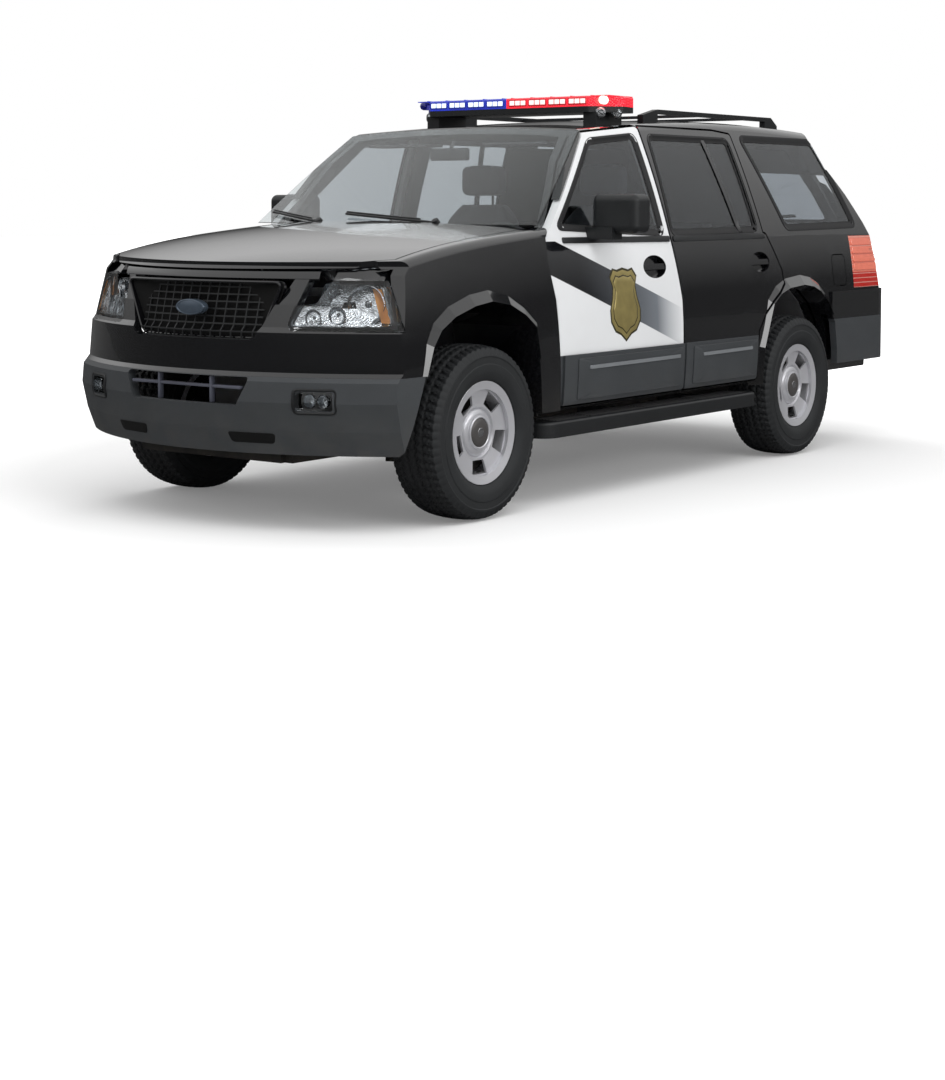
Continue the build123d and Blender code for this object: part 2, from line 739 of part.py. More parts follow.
with BuildPart() as left_side:
    add(door_band)
    for place, outline, window in DOORS:
        add(grown_cut(outline, 0, WIDE, DOOR_GAP, SHUT_CORNER_R / 3), mode=Mode.SUBTRACT)
    add(side_cut(side_points(PILLAR_SHARES), ROOF_PANEL_HALF + SEAM, WIDE), mode=Mode.INTERSECT)
    side_flare = rear_flare & box_between((-FAR, 0, SILL_Z), (FAR, WIDE, TOP))
    for place, outline, window in DOORS:
        side_flare = side_flare - grown_cut(outline, 0, WIDE, DOOR_GAP, SHUT_CORNER_R / 3)
    add(side_flare)
with BuildPart() as left_jamb:
    add(jamb_ring)
    for place, outline, window in DOORS:
        add(grown_cut(outline, 0, WIDE, -JAMB_LAP, SHUT_CORNER_R / 3), mode=Mode.SUBTRACT)
    add(side_cut(side_points(JAMB_SHARES), JAMB_LIMIT, WIDE), mode=Mode.INTERSECT)
flap_points = [(FLAP_X + FLAP_W / 2, FLAP_Z - FLAP_H / 2), (FLAP_X + FLAP_W / 2, FLAP_Z + FLAP_H / 2),
               (FLAP_X - FLAP_W / 2, FLAP_Z + FLAP_H / 2), (FLAP_X - FLAP_W / 2, FLAP_Z - FLAP_H / 2)]
flap_pocket = (grown_cut(flap_points, HALF_WIDTH - DOOR_DEPTH, WIDE, FLAP_GAP, FLAP_CORNER_R)
               - body_hull(FLAP_CUP, FLAP_CUP, FLAP_CUP, FLAP_CUP))
for side, sign in SIDES:
    with BuildPart() as body_side:
        add(left_side.part)
        add(left_jamb.part)
        add(lamp_zone - lamp_core, mode=Mode.SUBTRACT)
        add(bumper_zone - lamp_core, mode=Mode.SUBTRACT)
        add(side_cut(quarter_window, 0, WIDE, WINDOW_CORNER_R), mode=Mode.SUBTRACT)
        add(side_cut(REAR_ARCH, 0, WIDE), mode=Mode.SUBTRACT)
        add(gate_opening, mode=Mode.SUBTRACT)
        if sign > 0:
            add(flap_pocket, mode=Mode.SUBTRACT)
        else:
            mirror(about=Plane.XZ, mode=Mode.REPLACE)
    body_side.part.label = f"body_side_{side}"
    export_step(body_side.part, f"parts/body_side_{side}.step")

with BuildPart() as fuel_flap:
    add(side_cut(flap_points, HALF_WIDTH - DOOR_DEPTH, WIDE, FLAP_CORNER_R))
    add(cabin_outer, mode=Mode.INTERSECT)
    add(body_hull(FLAP_T, FLAP_T, FLAP_T, FLAP_T), mode=Mode.SUBTRACT)
    add((box_between((FLAP_X, HALF_WIDTH - DOOR_DEPTH, FLAP_Z - FLAP_W / 4),
                     (FLAP_X + FLAP_W / 2 + FLAP_GAP - SEAM, WIDE, FLAP_Z + FLAP_W / 4))
         & body_hull(FLAP_T / 2, FLAP_T / 2)) - body_hull(FLAP_T, FLAP_T, FLAP_T, FLAP_T))
fuel_flap.part.label = "fuel_flap"
export_step(fuel_flap.part, "parts/fuel_flap.step")

with BuildPart() as quarter_glass:
    add(glass_band)
    add(grown_cut(quarter_window, 0, WIDE, -SEAM, WINDOW_CORNER_R), mode=Mode.INTERSECT)
    mirror(about=Plane.XZ)
quarter_glass.part.label = "quarter_glass"
export_step(quarter_glass.part, "parts/quarter_glass.step")

with BuildPart() as tail_lamps:
    add(cabin_outer)
    add(lamp_core, mode=Mode.SUBTRACT)
    add(box_between((-FAR, GATE_LOW_HALF + GAP, TAIL_LAMP_LOW_Z + SEAM),
                    (TAIL_LAMP_FRONT_X - SEAM, WIDE, TAIL_LAMP_HIGH_Z - SEAM)), mode=Mode.INTERSECT)
    mirror(about=Plane.XZ)
tail_lamps.part.label = "tail_lamps"
export_step(tail_lamps.part, "parts/tail_lamps.step")

# Roof panel between the rails, windshield in front of the pillars
with BuildPart() as roof_panel:
    add(cabin_outer)
    add(shell_door_inner, mode=Mode.SUBTRACT)
    add(box_between((-FAR, -ROOF_PANEL_HALF, SHIELD_TOP_Z - 2 * OVERRUN),
                    (HALF_LENGTH, ROOF_PANEL_HALF, TOP)), mode=Mode.INTERSECT)
    add(gate_opening, mode=Mode.SUBTRACT)
roof_panel.part.label = "roof_panel"
export_step(roof_panel.part, "parts/roof_panel.step")

with BuildPart() as windshield:
    add(shield_outer)
    add(shield_inner, mode=Mode.SUBTRACT)
    add(body_hull(SHIELD_EDGE, SHIELD_EDGE, SHIELD_EDGE), mode=Mode.INTERSECT)
    add(box_between((0, -WIDE, SHIELD_BASE_Z), (HALF_LENGTH, WIDE, TOP)), mode=Mode.INTERSECT)
windshield.part.label = "windshield"
export_step(windshield.part, "parts/windshield.step")

# Liftgate with its glass
gate_window_points = [
    (GATE_LOW_HALF - 1.5 * GATE_T, BELT_Z + GATE_T),
    (GATE_HIGH_HALF - GATE_T, GATE_WINDOW_TOP_Z),
    (-GATE_HIGH_HALF + GATE_T, GATE_WINDOW_TOP_Z),
    (-GATE_LOW_HALF + 1.5 * GATE_T, BELT_Z + GATE_T),
]
tail_seat_face = turned_form(TAIL_PROFILE_SHARES, TAIL_AXIS_X, -1, GATE_T + GAP - SEAM)
with BuildPart() as liftgate:
    add(cabin_outer)
    add(tail_inner, mode=Mode.SUBTRACT)
    add(end_cut(gate_points, -FAR, 0), mode=Mode.INTERSECT)
    add(end_cut(gate_window_points, -FAR, 0, WINDOW_CORNER_R), mode=Mode.SUBTRACT)
    for sign in (1, -1):
        hinge_leaf = box_between((GATE_ROOF_X, sign * GATE_HINGE_Y - GATE_T / 2, GATE_HINGE_Z - HINGE_T),
                                 (GATE_ROOF_X + 2 * GATE_T, sign * GATE_HINGE_Y + GATE_T / 2, GATE_HINGE_Z))
        add(hinge_leaf - tail_seat_face)
liftgate.part.label = "liftgate"
export_step(liftgate.part, "parts/liftgate.step")
with BuildPart() as liftgate_glass:
    add(turned_form(TAIL_PROFILE_SHARES, TAIL_AXIS_X, -1, GLASS_INSET))
    add(turned_form(TAIL_PROFILE_SHARES, TAIL_AXIS_X, -1, GLASS_INSET + GLASS_T), mode=Mode.SUBTRACT)
    add(box_between((-FAR, -WIDE, 0), (0, WIDE, TOP)), mode=Mode.INTERSECT)
    add(grown_end_cut(gate_window_points, -FAR, 0, -SEAM, WINDOW_CORNER_R), mode=Mode.INTERSECT)
liftgate_glass.part.label = "liftgate_glass"
export_step(liftgate_glass.part, "parts/liftgate_glass.step")

# Hood, fenders and the front fascia
hood_rear_mid = HOOD_REAR_X + HOOD_REAR_BOW


def hood_region(growth, z_from, z_to):
    """The hood's outline from above, grown by a gap, between two heights."""
    with BuildPart() as region:
        with BuildSketch(Plane.XY.offset(z_from)):
            with BuildLine():
                half = HOOD_HALF + growth
                rear = HOOD_REAR_X - growth
                Polyline((rear, half), (HALF_LENGTH * HOOD_CORNER_SHARE, half),
                         (HALF_LENGTH * HOOD_LAMP_SHARE, HOOD_FRONT_HALF + growth),
                         (FAR, HOOD_FRONT_HALF + growth), (FAR, -HOOD_FRONT_HALF - growth),
                         (HALF_LENGTH * HOOD_LAMP_SHARE, -HOOD_FRONT_HALF - growth),
                         (HALF_LENGTH * HOOD_CORNER_SHARE, -half), (rear, -half))
                ThreePointArc((rear, -half), (hood_rear_mid - growth, 0), (rear, half))
            make_face()
        extrude(amount=z_to - z_from)
    return region.part


with BuildPart() as hood:
    add(nose_skin)
    add(nose_hull(0, HOOD_T), mode=Mode.SUBTRACT)
    add(hood_region(0, HOOD_LOW_Z, TOP), mode=Mode.INTERSECT)
    add(shield_clear, mode=Mode.SUBTRACT)
hood.part.label = "hood"
export_step(hood.part, "parts/hood.step")

lamp_front_points = [(HALF_WIDTH * y, ROOF_Z * z) for y, z in LAMP_FACE_SHARES]
head_core = (nose_hull(HEADLAMP_DEPTH, HEADLAMP_DEPTH)
             & turned_form(NOSE_PROFILE_SHARES, NOSE_AXIS_X, 1, HEADLAMP_DEPTH))
lamp_block = (end_cut(lamp_front_points, HEADLAMP_REAR_X, FAR, HEADLAMP_CORNER_R) & (nose_skin - head_core)
              - hood_region(GAP, HOOD_LOW_Z, TOP))
lamp_space = end_cut(lamp_front_points, HEADLAMP_REAR_X - SEAM, FAR, HEADLAMP_CORNER_R)
with BuildPart() as headlamps:
    add(lamp_block)
    mirror(about=Plane.XZ)
headlamps.part.label = "headlamps"
export_step(headlamps.part, "parts/headlamps.step")

liner_space = box_between((0, LINER_IN_Y, SILL_Z), (LINER_FRONT_X, WIDE, TOP))
front_liner = ((grown_cut(FRONT_ARCH, LINER_IN_Y, HALF_WIDTH - FENDER_T / 2, LINER_T, LINER_T)
                - side_cut(FRONT_ARCH, 0, WIDE)) & liner_space)
fender_bracket = (box_between((BRACKET_X - BRACKET_L / 2, HALF_WIDTH - 2 * DOOR_DEPTH, BRACKET_Z),
                              (BRACKET_X + BRACKET_L / 2, HALF_WIDTH - FENDER_T / 2, BRACKET_Z + BRACKET_H))
                  - body_hull(DOOR_DEPTH + JAMB_CLEAR - SEAM, DOOR_FRAME_DEPTH + JAMB_CLEAR,
                              ROOF_SKIN, FLOOR_T))
fender_low_z = ROOF_Z * FENDER_SHARES[-3][1]
fender_flare = front_flare & (box_between((0, 0, CLAD_TOP_Z), (FRONT_AXLE_X, WIDE, TOP))
                              + box_between((FRONT_AXLE_X, 0, fender_low_z), (FAR, WIDE, TOP)))
fender_cladding = (clad_band & box_between((HALF_LENGTH * FENDER_SHARES[0][0] + CLAD_T, 0, SILL_Z + CLAD_T),
                                           (CLAD_FRONT_X, WIDE, CLAD_TOP_Z)))
with BuildPart() as left_fender:
    add(nose_skin)
    add(nose_hull(FENDER_T, HOOD_T), mode=Mode.SUBTRACT)
    add(side_cut(side_points(FENDER_SHARES), 0, WIDE), mode=Mode.INTERSECT)
    add(hood_region(GAP, 0, TOP), mode=Mode.SUBTRACT)
    add(side_cut(FRONT_ARCH, 0, WIDE), mode=Mode.SUBTRACT)
    add(lamp_space, mode=Mode.SUBTRACT)
    add(shield_clear, mode=Mode.SUBTRACT)
    add(box_between((0, 0, 0), (hood_rear_mid, HOOD_HALF + SEAM, TOP)), mode=Mode.SUBTRACT)
    add(front_liner)
    add(fender_bracket)
    add(fender_flare)
    add(fender_cladding)
for side, sign in SIDES:
    with BuildPart() as fender:
        add(left_fender.part)
        if sign < 0:
            mirror(about=Plane.XZ, mode=Mode.REPLACE)
    fender.part.label = f"fender_{side}"
    export_step(fender.part, f"parts/fender_{side}.step")

nose_shell = (nose_under_hood - (nose_hull(FASCIA_T, HOOD_T + FASCIA_T) & nose_inner)) & box_between(
    (NOSE_SHELL_REAR_X, -WIDE, 0), (FAR, WIDE, TOP))
grille_points = [(HALF_WIDTH * y, ROOF_Z * z) for y, z in GRILLE_SHARES]
grille_opening = end_cut(grille_points, NOSE_SHELL_REAR_X, FAR, GRILLE_CORNER_R)
bumper_flare = front_flare & box_between((FRONT_AXLE_X, 0, VALANCE_TOP_Z + SEAM), (FAR, WIDE, BUMPER_TOP_Z))
with BuildPart() as front_bumper:
    add(nose_shell)
    add(box_between((NOSE_SHELL_REAR_X, -WIDE, VALANCE_TOP_Z + SEAM), (FAR, WIDE, HOOD_LOW_Z)),
        mode=Mode.INTERSECT)
    add(box_between((0, BUMPER_END_HALF, BUMPER_TOP_Z), (FAR, WIDE, TOP)), mode=Mode.SUBTRACT)
    add(box_between((0, -WIDE, BUMPER_TOP_Z), (FAR, -BUMPER_END_HALF, TOP)), mode=Mode.SUBTRACT)
    add(lamp_space, mode=Mode.SUBTRACT)
    add(lamp_space.mirror(Plane.XZ), mode=Mode.SUBTRACT)
    add(grille_opening, mode=Mode.SUBTRACT)
    add(side_cut(FRONT_ARCH, -WIDE, WIDE), mode=Mode.SUBTRACT)
    add(bumper_flare)
    add(bumper_flare.mirror(Plane.XZ))
front_bumper.part.label = "front_bumper"
export_step(front_bumper.part, "parts/front_bumper.step")

with BuildPart() as front_valance:
    add(nose_shell)
    add(box_between((NOSE_SHELL_REAR_X, -WIDE, 0), (FAR, WIDE, VALANCE_TOP_Z)), mode=Mode.INTERSECT)
    add(end_cut([(HALF_WIDTH * y, ROOF_Z * z) for y, z in INTAKE_SHARES], NOSE_SHELL_REAR_X, FAR,
                FOG_CORNER_R), mode=Mode.SUBTRACT)
    for sign in (1, -1):
        add(end_cut([(sign * HALF_WIDTH * y, ROOF_Z * z) for y, z in FOG_SHARES], NOSE_SHELL_REAR_X, FAR,
                    FOG_CORNER_R), mode=Mode.SUBTRACT)
    add(side_cut(FRONT_ARCH, -WIDE, WIDE), mode=Mode.SUBTRACT)
front_valance.part.label = "front_valance"
export_step(front_valance.part, "parts/front_valance.step")

with BuildPart() as fog_lamps:
    add(end_cut([(HALF_WIDTH * y, ROOF_Z * z) for y, z in FOG_SHARES], NOSE_SHELL_REAR_X, FAR, FOG_CORNER_R))
    offset(amount=-SEAM, kind=Kind.INTERSECTION, mode=Mode.REPLACE)
    add(turned_form(NOSE_PROFILE_SHARES, NOSE_AXIS_X, 1, FASCIA_T / 2)
        - turned_form(NOSE_PROFILE_SHARES, NOSE_AXIS_X, 1, FASCIA_T), mode=Mode.INTERSECT)
    mirror(about=Plane.XZ)
fog_lamps.part.label = "fog_lamps"
export_step(fog_lamps.part, "parts/fog_lamps.step")

# Grille: a mesh of wires in its opening, set back from the front face
grille_band = (turned_form(NOSE_PROFILE_SHARES, NOSE_AXIS_X, 1, GRILLE_INSET)
               - turned_form(NOSE_PROFILE_SHARES, NOSE_AXIS_X, 1, GRILLE_INSET + WIRE_T))
grille_low = ROOF_Z * GRILLE_SHARES[0][1]
grille_high = ROOF_Z * GRILLE_SHARES[2][1]
grille_half = HALF_WIDTH * GRILLE_SHARES[1][0]
grille_rows = round((grille_high - grille_low) / GRILLE_ROW)
grille_columns = 2 * round(grille_half / GRILLE_COLUMN) - 1
with BuildPart() as grille:
    with BuildSketch(Plane(origin=(NOSE_SHELL_REAR_X, 0, 0), x_dir=(0, 1, 0), z_dir=(1, 0, 0))):
        with Locations((0, (grille_low + grille_high) / 2)):
            with GridLocations(0, (grille_high - grille_low) / grille_rows, 1, grille_rows + 1):
                Rectangle(2 * grille_half, WIRE_T)
            with GridLocations(GRILLE_COLUMN, 0, grille_columns, 1):
                Rectangle(WIRE_T, grille_high - grille_low)
    extrude(amount=FAR - NOSE_SHELL_REAR_X)
    add(grille_opening, mode=Mode.INTERSECT)
    add(grille_band, mode=Mode.INTERSECT)
grille.part.label = "grille"
export_step(grille.part, "parts/grille.step")

# Cowl between the hood and the windshield
with BuildPart() as cowl:
    add(nose_hull(0, COWL_DROP))
    add(nose_hull(0, COWL_DROP + HOOD_T), mode=Mode.SUBTRACT)
    add(hood_region(GAP + SEAM, 0, TOP), mode=Mode.SUBTRACT)
    add(box_between((NOSE_REAR_X, -HOOD_HALF, HOOD_LOW_Z), (hood_rear_mid, HOOD_HALF, TOP)),
        mode=Mode.INTERSECT)
    add(shield_clear, mode=Mode.SUBTRACT)
    add(behind_shield(COWL_REACH), mode=Mode.SUBTRACT)
cowl.part.label = "cowl"
export_step(cowl.part, "parts/cowl.step")

# Wheels: tyre and rim, with five windows in the disc
tyre_half = TYRE_W / 2
tread_half = tyre_half - TYRE_SHOULDER / 2
tyre_profile = [
    (RIM_SEAT_R + SEAM, RIM_LIP_T + SEAM - RIM_HALF), (RIM_SEAT_R + SEAM, RIM_HALF - RIM_LIP_T - SEAM),
    (RIM_FLANGE_R + SEAM, RIM_HALF - SEAM), (RIM_FLANGE_R + TYRE_SHOULDER, tyre_half),
    (TYRE_R - TYRE_SHOULDER, tyre_half),
    (TYRE_R - TYRE_SHOULDER / 5, tread_half), (TYRE_R, tread_half - TYRE_SHOULDER / 2),
    (TYRE_R, TYRE_SHOULDER / 2 - tread_half), (TYRE_R - TYRE_SHOULDER / 5, -tread_half),
    (TYRE_R - TYRE_SHOULDER, -tyre_half), (RIM_FLANGE_R + TYRE_SHOULDER, -tyre_half),
    (RIM_FLANGE_R + SEAM, SEAM - RIM_HALF),
]
rim_barrel = [
    (RIM_BARREL_R, -RIM_HALF), (RIM_BARREL_R, RIM_HALF), (RIM_FLANGE_R, RIM_HALF + RIM_LIP_T),
    (RIM_FLANGE_R, RIM_HALF), (RIM_SEAT_R, RIM_HALF - RIM_LIP_T), (RIM_SEAT_R, RIM_LIP_T - RIM_HALF),
    (RIM_FLANGE_R, -RIM_HALF), (RIM_FLANGE_R, -RIM_HALF - RIM_LIP_T),
]
disc_profile = [
    (HUB_BORE_R, RIM_DISC_Y - HUB_SET), (HUB_BORE_R, RIM_DISC_Y), (HUB_R, RIM_DISC_Y),
    (HUB_R + RIM_DISC_T, RIM_DISC_Y + HUB_RISE), (HUB_R + 2 * RIM_DISC_T, RIM_DISC_Y + HUB_RISE),
    (RIM_BARREL_R - RIM_DISC_T, RIM_DISC_Y + RIM_DISH), (RIM_BARREL_R + RIM_LIP_T / 2, RIM_DISC_Y + RIM_DISH),
    (RIM_BARREL_R + RIM_LIP_T / 2, RIM_DISC_Y + RIM_DISH - RIM_DISC_T),
    (RIM_BARREL_R - RIM_DISC_T, RIM_DISC_Y + RIM_DISH - RIM_DISC_T),
    (HUB_R + RIM_DISC_T, RIM_DISC_Y + HUB_RISE - RIM_DISC_T), (HUB_R, RIM_DISC_Y - HUB_SET),
]
cap_profile = [
    (0, RIM_DISC_Y - CAP_SET), (HUB_CAP_R, RIM_DISC_Y - CAP_SET), (HUB_CAP_R, RIM_DISC_Y + CAP_RISE / 2),
    (HUB_CAP_R * 0.8, RIM_DISC_Y + CAP_RISE), (0, RIM_DISC_Y + CAP_RISE),
]

with BuildPart() as rim_blank:
    add(ring_about_y(rim_barrel, 0))
    add(ring_about_y(disc_profile, 0))
    add(ring_about_y(cap_profile, 0))
    with BuildSketch(Plane.XZ):
        with PolarLocations((WINDOW_LOW_R + WINDOW_HIGH_R) / 2, WINDOW_COUNT, start_angle=-90):
            Trapezoid(2 * WINDOW_HALF, WINDOW_HIGH_R - WINDOW_LOW_R, WINDOW_SLOPE, rotation=90)
    extrude(amount=-2 * RIM_HALF, mode=Mode.SUBTRACT)
WHEELS = [
    ("front_left", FRONT_AXLE_X, 1), ("front_right", FRONT_AXLE_X, -1),
    ("rear_left", REAR_AXLE_X, 1), ("rear_right", REAR_AXLE_X, -1),
]
tyre_blank = ring_about_y(tyre_profile, 0)
for place, axle_x, sign in WHEELS:
    seat = Pos(axle_x, sign * TRACK / 2, TYRE_R)
    with BuildPart() as tyre:
        add(seat * tyre_blank)
    tyre.part.label = f"tyre_{place}"
    export_step(tyre.part, f"parts/tyre_{place}.step")
    with BuildPart() as rim:
        add(seat * (rim_blank.part if sign > 0 else rim_blank.part.mirror(Plane.XZ)))
    rim.part.label = f"rim_{place}"
    export_step(rim.part, f"parts/rim_{place}.step")

# Front knuckles, on ball pins above and below the spindle
spindle_end = TRACK / 2 + RIM_DISC_Y - HUB_SET + SPINDLE_LAP
hub_back = TRACK / 2 + RIM_DISC_Y - HUB_SET
for side, sign in SIDES:
    with BuildPart() as knuckle:
        with BuildSketch(Plane.XZ.offset(-(STEER_AXIS_Y + KNUCKLE_HALF))):
            with Locations((FRONT_AXLE_X, TYRE_R)):
                Circle(KNUCKLE_R)
                Rectangle(2 * STEER_PIN_R * 2, 2 * (BALL_DROP - BALL_H - SEAM))
        extrude(amount=2 * KNUCKLE_HALF)
        with BuildSketch(Plane.XZ.offset(-(STEER_AXIS_Y + KNUCKLE_HALF))):
            with Locations((FRONT_AXLE_X, TYRE_R)):
                Circle(HUB_BORE_R - HUB_CLEAR)
        extrude(amount=-(spindle_end - STEER_AXIS_Y - KNUCKLE_HALF))
        with BuildSketch(Plane.XY):
            with Locations((FRONT_AXLE_X, STEER_AXIS_Y)):
                Circle(STEER_PIN_R + STEER_PIN_CLEAR)
        extrude(amount=2 * TYRE_R, mode=Mode.SUBTRACT)
        with BuildSketch(Plane.XY.offset(TYRE_R - KNUCKLE_R)):
            with Locations((FRONT_AXLE_X, STEER_AXIS_Y)):
                Circle(STEER_PIN_R * 2)
        extrude(amount=2 * KNUCKLE_R)
        if sign < 0:
            mirror(about=Plane.XZ, mode=Mode.REPLACE)
    knuckle.part.label = f"knuckle_{side}"
    export_step(knuckle.part, f"parts/knuckle_{side}.step")

# Suspension: arms out to the ball pins in front, a final drive with half shafts at the rear
rail_face = RAIL_Y + RAIL_W / 2
with BuildPart() as suspension:
    for rise in (-1, 1):
        low_z = TYRE_R + rise * BALL_DROP - ARM_T / 2
        with BuildSketch(Plane.XY.offset(low_z)):
            with BuildLine():
                Polyline((FRONT_AXLE_X - ARM_FOOT_HALF, rail_face + SEAM),
                         (FRONT_AXLE_X + ARM_FOOT_HALF, rail_face + SEAM),
                         (FRONT_AXLE_X + ARM_TIP_HALF, STEER_AXIS_Y),
                         (FRONT_AXLE_X - ARM_TIP_HALF, STEER_AXIS_Y), close=True)
            make_face()
            with Locations((FRONT_AXLE_X, STEER_AXIS_Y)):
                Circle(ARM_TIP_HALF)
        extrude(amount=ARM_T)
        add(box_between((FRONT_AXLE_X - ARM_FOOT_HALF, rail_face + SEAM, TYRE_R - BALL_DROP - ARM_T / 2),
                        (FRONT_AXLE_X + ARM_FOOT_HALF, rail_face + ARM_T / 2,
                         TYRE_R + BALL_DROP + ARM_T / 2)))
        pin_low = TYRE_R + KNUCKLE_R + SEAM if rise > 0 else low_z
        with BuildSketch(Plane.XY.offset(pin_low)):
            with Locations((FRONT_AXLE_X, STEER_AXIS_Y)):
                Circle(STEER_PIN_R)
        extrude(amount=BALL_DROP - KNUCKLE_R - SEAM + ARM_T / 2)
    mirror(about=Plane.XZ)
suspension.part.label = "suspension"
export_step(suspension.part, "parts/suspension.step")
with BuildPart() as rear_axle:
    add(ring_about_y([(0, -DIFF_HALF), (DIFF_R * 0.6, -DIFF_HALF), (DIFF_R, -DIFF_HALF / 2),
                      (DIFF_R, DIFF_HALF / 2), (DIFF_R * 0.6, DIFF_HALF), (0, DIFF_HALF)], 0))
    add(ring_about_y([(0, 0), (SHAFT_R, 0), (SHAFT_R, hub_back - KNUCKLE_HALF),
                      (KNUCKLE_R, hub_back - 2 * KNUCKLE_HALF),
                      (KNUCKLE_R, hub_back - SEAM), (HUB_BORE_R - HUB_CLEAR, hub_back - SEAM),
                      (HUB_BORE_R - HUB_CLEAR, spindle_end), (0, spindle_end)], 0))
    mirror(about=Plane.XZ)
rear_axle_solid = Pos(REAR_AXLE_X, 0, TYRE_R) * rear_axle.part
with BuildPart() as rear_axle:
    add(rear_axle_solid)
    for sign in (1, -1):
        with BuildSketch(Plane.XZ.offset(-(sign * RAIL_Y - RAIL_W / 2))):
            with Locations((REAR_AXLE_X, TYRE_R)):
                Circle(SHAFT_R * 2)
        extrude(amount=-RAIL_W)
rear_axle.part.label = "rear_axle"
export_step(rear_axle.part, "parts/rear_axle.step")

BRACKET_SHARES = [0.34, 0.04, -0.27]
MOUNT_SHARES = [0.42, 0.15, -0.18, -0.40, -0.80]

# Ladder frame with its cross members and body mounts
rail_top = RAIL_LOW_Z + RAIL_H
CROSS_SHARES = [0.900, 0.640, 0.420, 0.150, -0.180, -0.400, -0.660, -0.900]
with BuildPart() as chassis_frame:
    with BuildSketch(Plane.XY.offset(RAIL_LOW_Z)):
        with Locations(((RAIL_FRONT_X + RAIL_REAR_X) / 2, 0)):
            with GridLocations(0, 2 * RAIL_Y, 1, 2):
                Rectangle(RAIL_FRONT_X - RAIL_REAR_X, RAIL_W)
    extrude(amount=RAIL_H)
    with BuildSketch(Plane.XY.offset(RAIL_LOW_Z)):
        with Locations(*[(HALF_LENGTH * x, 0) for x in CROSS_SHARES]):
            Rectangle(CROSS_W, 2 * RAIL_Y)
    extrude(amount=CROSS_H)
    with BuildSketch(Plane.XY.offset(rail_top)):
        with Locations(*[(HALF_LENGTH * x, sign * RAIL_Y) for x in MOUNT_SHARES for sign in (1, -1)]):
            Circle(MOUNT_R)
    extrude(amount=SILL_Z - rail_top)
    with BuildSketch(Plane.XZ.offset(-WIDE)):
        with Locations((REAR_AXLE_X, TYRE_R)):
            Circle(SHAFT_R * 2 + SEAM)
    extrude(amount=2 * WIDE, mode=Mode.SUBTRACT)
chassis_frame.part.label = "chassis_frame"
export_step(chassis_frame.part, "parts/chassis_frame.step")

with BuildPart() as engine_block:
    add(box_between((ENGINE_REAR_X, -ENGINE_HALF, ENGINE_LOW_Z), (ENGINE_FRONT_X, ENGINE_HALF, ENGINE_TOP_Z)))
    add(box_between((HALF_LENGTH * CROSS_SHARES[1] - CROSS_W / 2, -CROSS_W, RAIL_LOW_Z + CROSS_H + SEAM),
                    (HALF_LENGTH * CROSS_SHARES[1] + CROSS_W / 2, CROSS_W, ENGINE_LOW_Z)))
engine_block.part.label = "engine_block"
export_step(engine_block.part, "parts/engine_block.step")

# Floor with its firewall and rear wheelhouses
wheelhouse_outer = (grown_cut(REAR_ARCH, WHEELHOUSE_HALF, WHEELHOUSE_OUT_Y, LINER_T, LINER_T)
                    - box_between((-FAR, FLOOR_HALF, 0), (FAR, WIDE, SILL_Z + FLOOR_T)))
wheelhouse_inner = side_cut(REAR_ARCH, WHEELHOUSE_HALF + LINER_T, WIDE)
with BuildPart() as floor_pan:
    add(box_between((FLOOR_REAR_X, -FLOOR_HALF, SILL_Z + SEAM),
                    (FIREWALL_X, FLOOR_HALF, SILL_Z + FLOOR_T - SEAM)))
    add(box_between((FIREWALL_X - FLOOR_T, -FIREWALL_HALF, SILL_Z + SEAM),
                    (FIREWALL_X, FIREWALL_HALF, FIREWALL_TOP_Z)))
    add(box_between((REAR_AXLE_X - HUMP_L / 2, -WHEELHOUSE_HALF, SILL_Z),
                    (REAR_AXLE_X + HUMP_L / 2, WHEELHOUSE_HALF, HUMP_TOP_Z)))
    add(box_between((REAR_AXLE_X - HUMP_L / 2 + FLOOR_T, -WHEELHOUSE_HALF + LINER_T, 0),
                    (REAR_AXLE_X + HUMP_L / 2 - FLOOR_T, WHEELHOUSE_HALF - LINER_T, HUMP_TOP_Z - FLOOR_T)),
        mode=Mode.SUBTRACT)
    for sign in (1, -1):
        add(wheelhouse_outer if sign > 0 else wheelhouse_outer.mirror(Plane.XZ))
    for sign in (1, -1):
        add(wheelhouse_inner if sign > 0 else wheelhouse_inner.mirror(Plane.XZ), mode=Mode.SUBTRACT)
    add(box_between((-FAR, -WIDE, 0), (FAR, WIDE, SILL_Z + SEAM)), mode=Mode.SUBTRACT)
floor_pan.part.label = "floor_pan"
export_step(floor_pan.part, "parts/floor_pan.step")

# Rear bumper, painted above and plain below


def rear_bumper_form(inset, z_from, z_to):
    with BuildPart() as form:
        with BuildSketch(Plane.XY.offset(z_from)) as plan:
            with BuildLine():
                half = REAR_BUMPER_HALF - inset
                end = REAR_BUMPER_BOW - HALF_LENGTH + inset
                Polyline((end, -half), (0, -half), (0, half), (end, half))
                ThreePointArc((end, half), (inset - HALF_LENGTH, 0), (end, -half))
            make_face()
            fillet(plan.vertices().group_by(Axis.X)[0], REAR_BUMPER_CORNER_R - inset)
        extrude(amount=z_to - z_from)
    return form.part


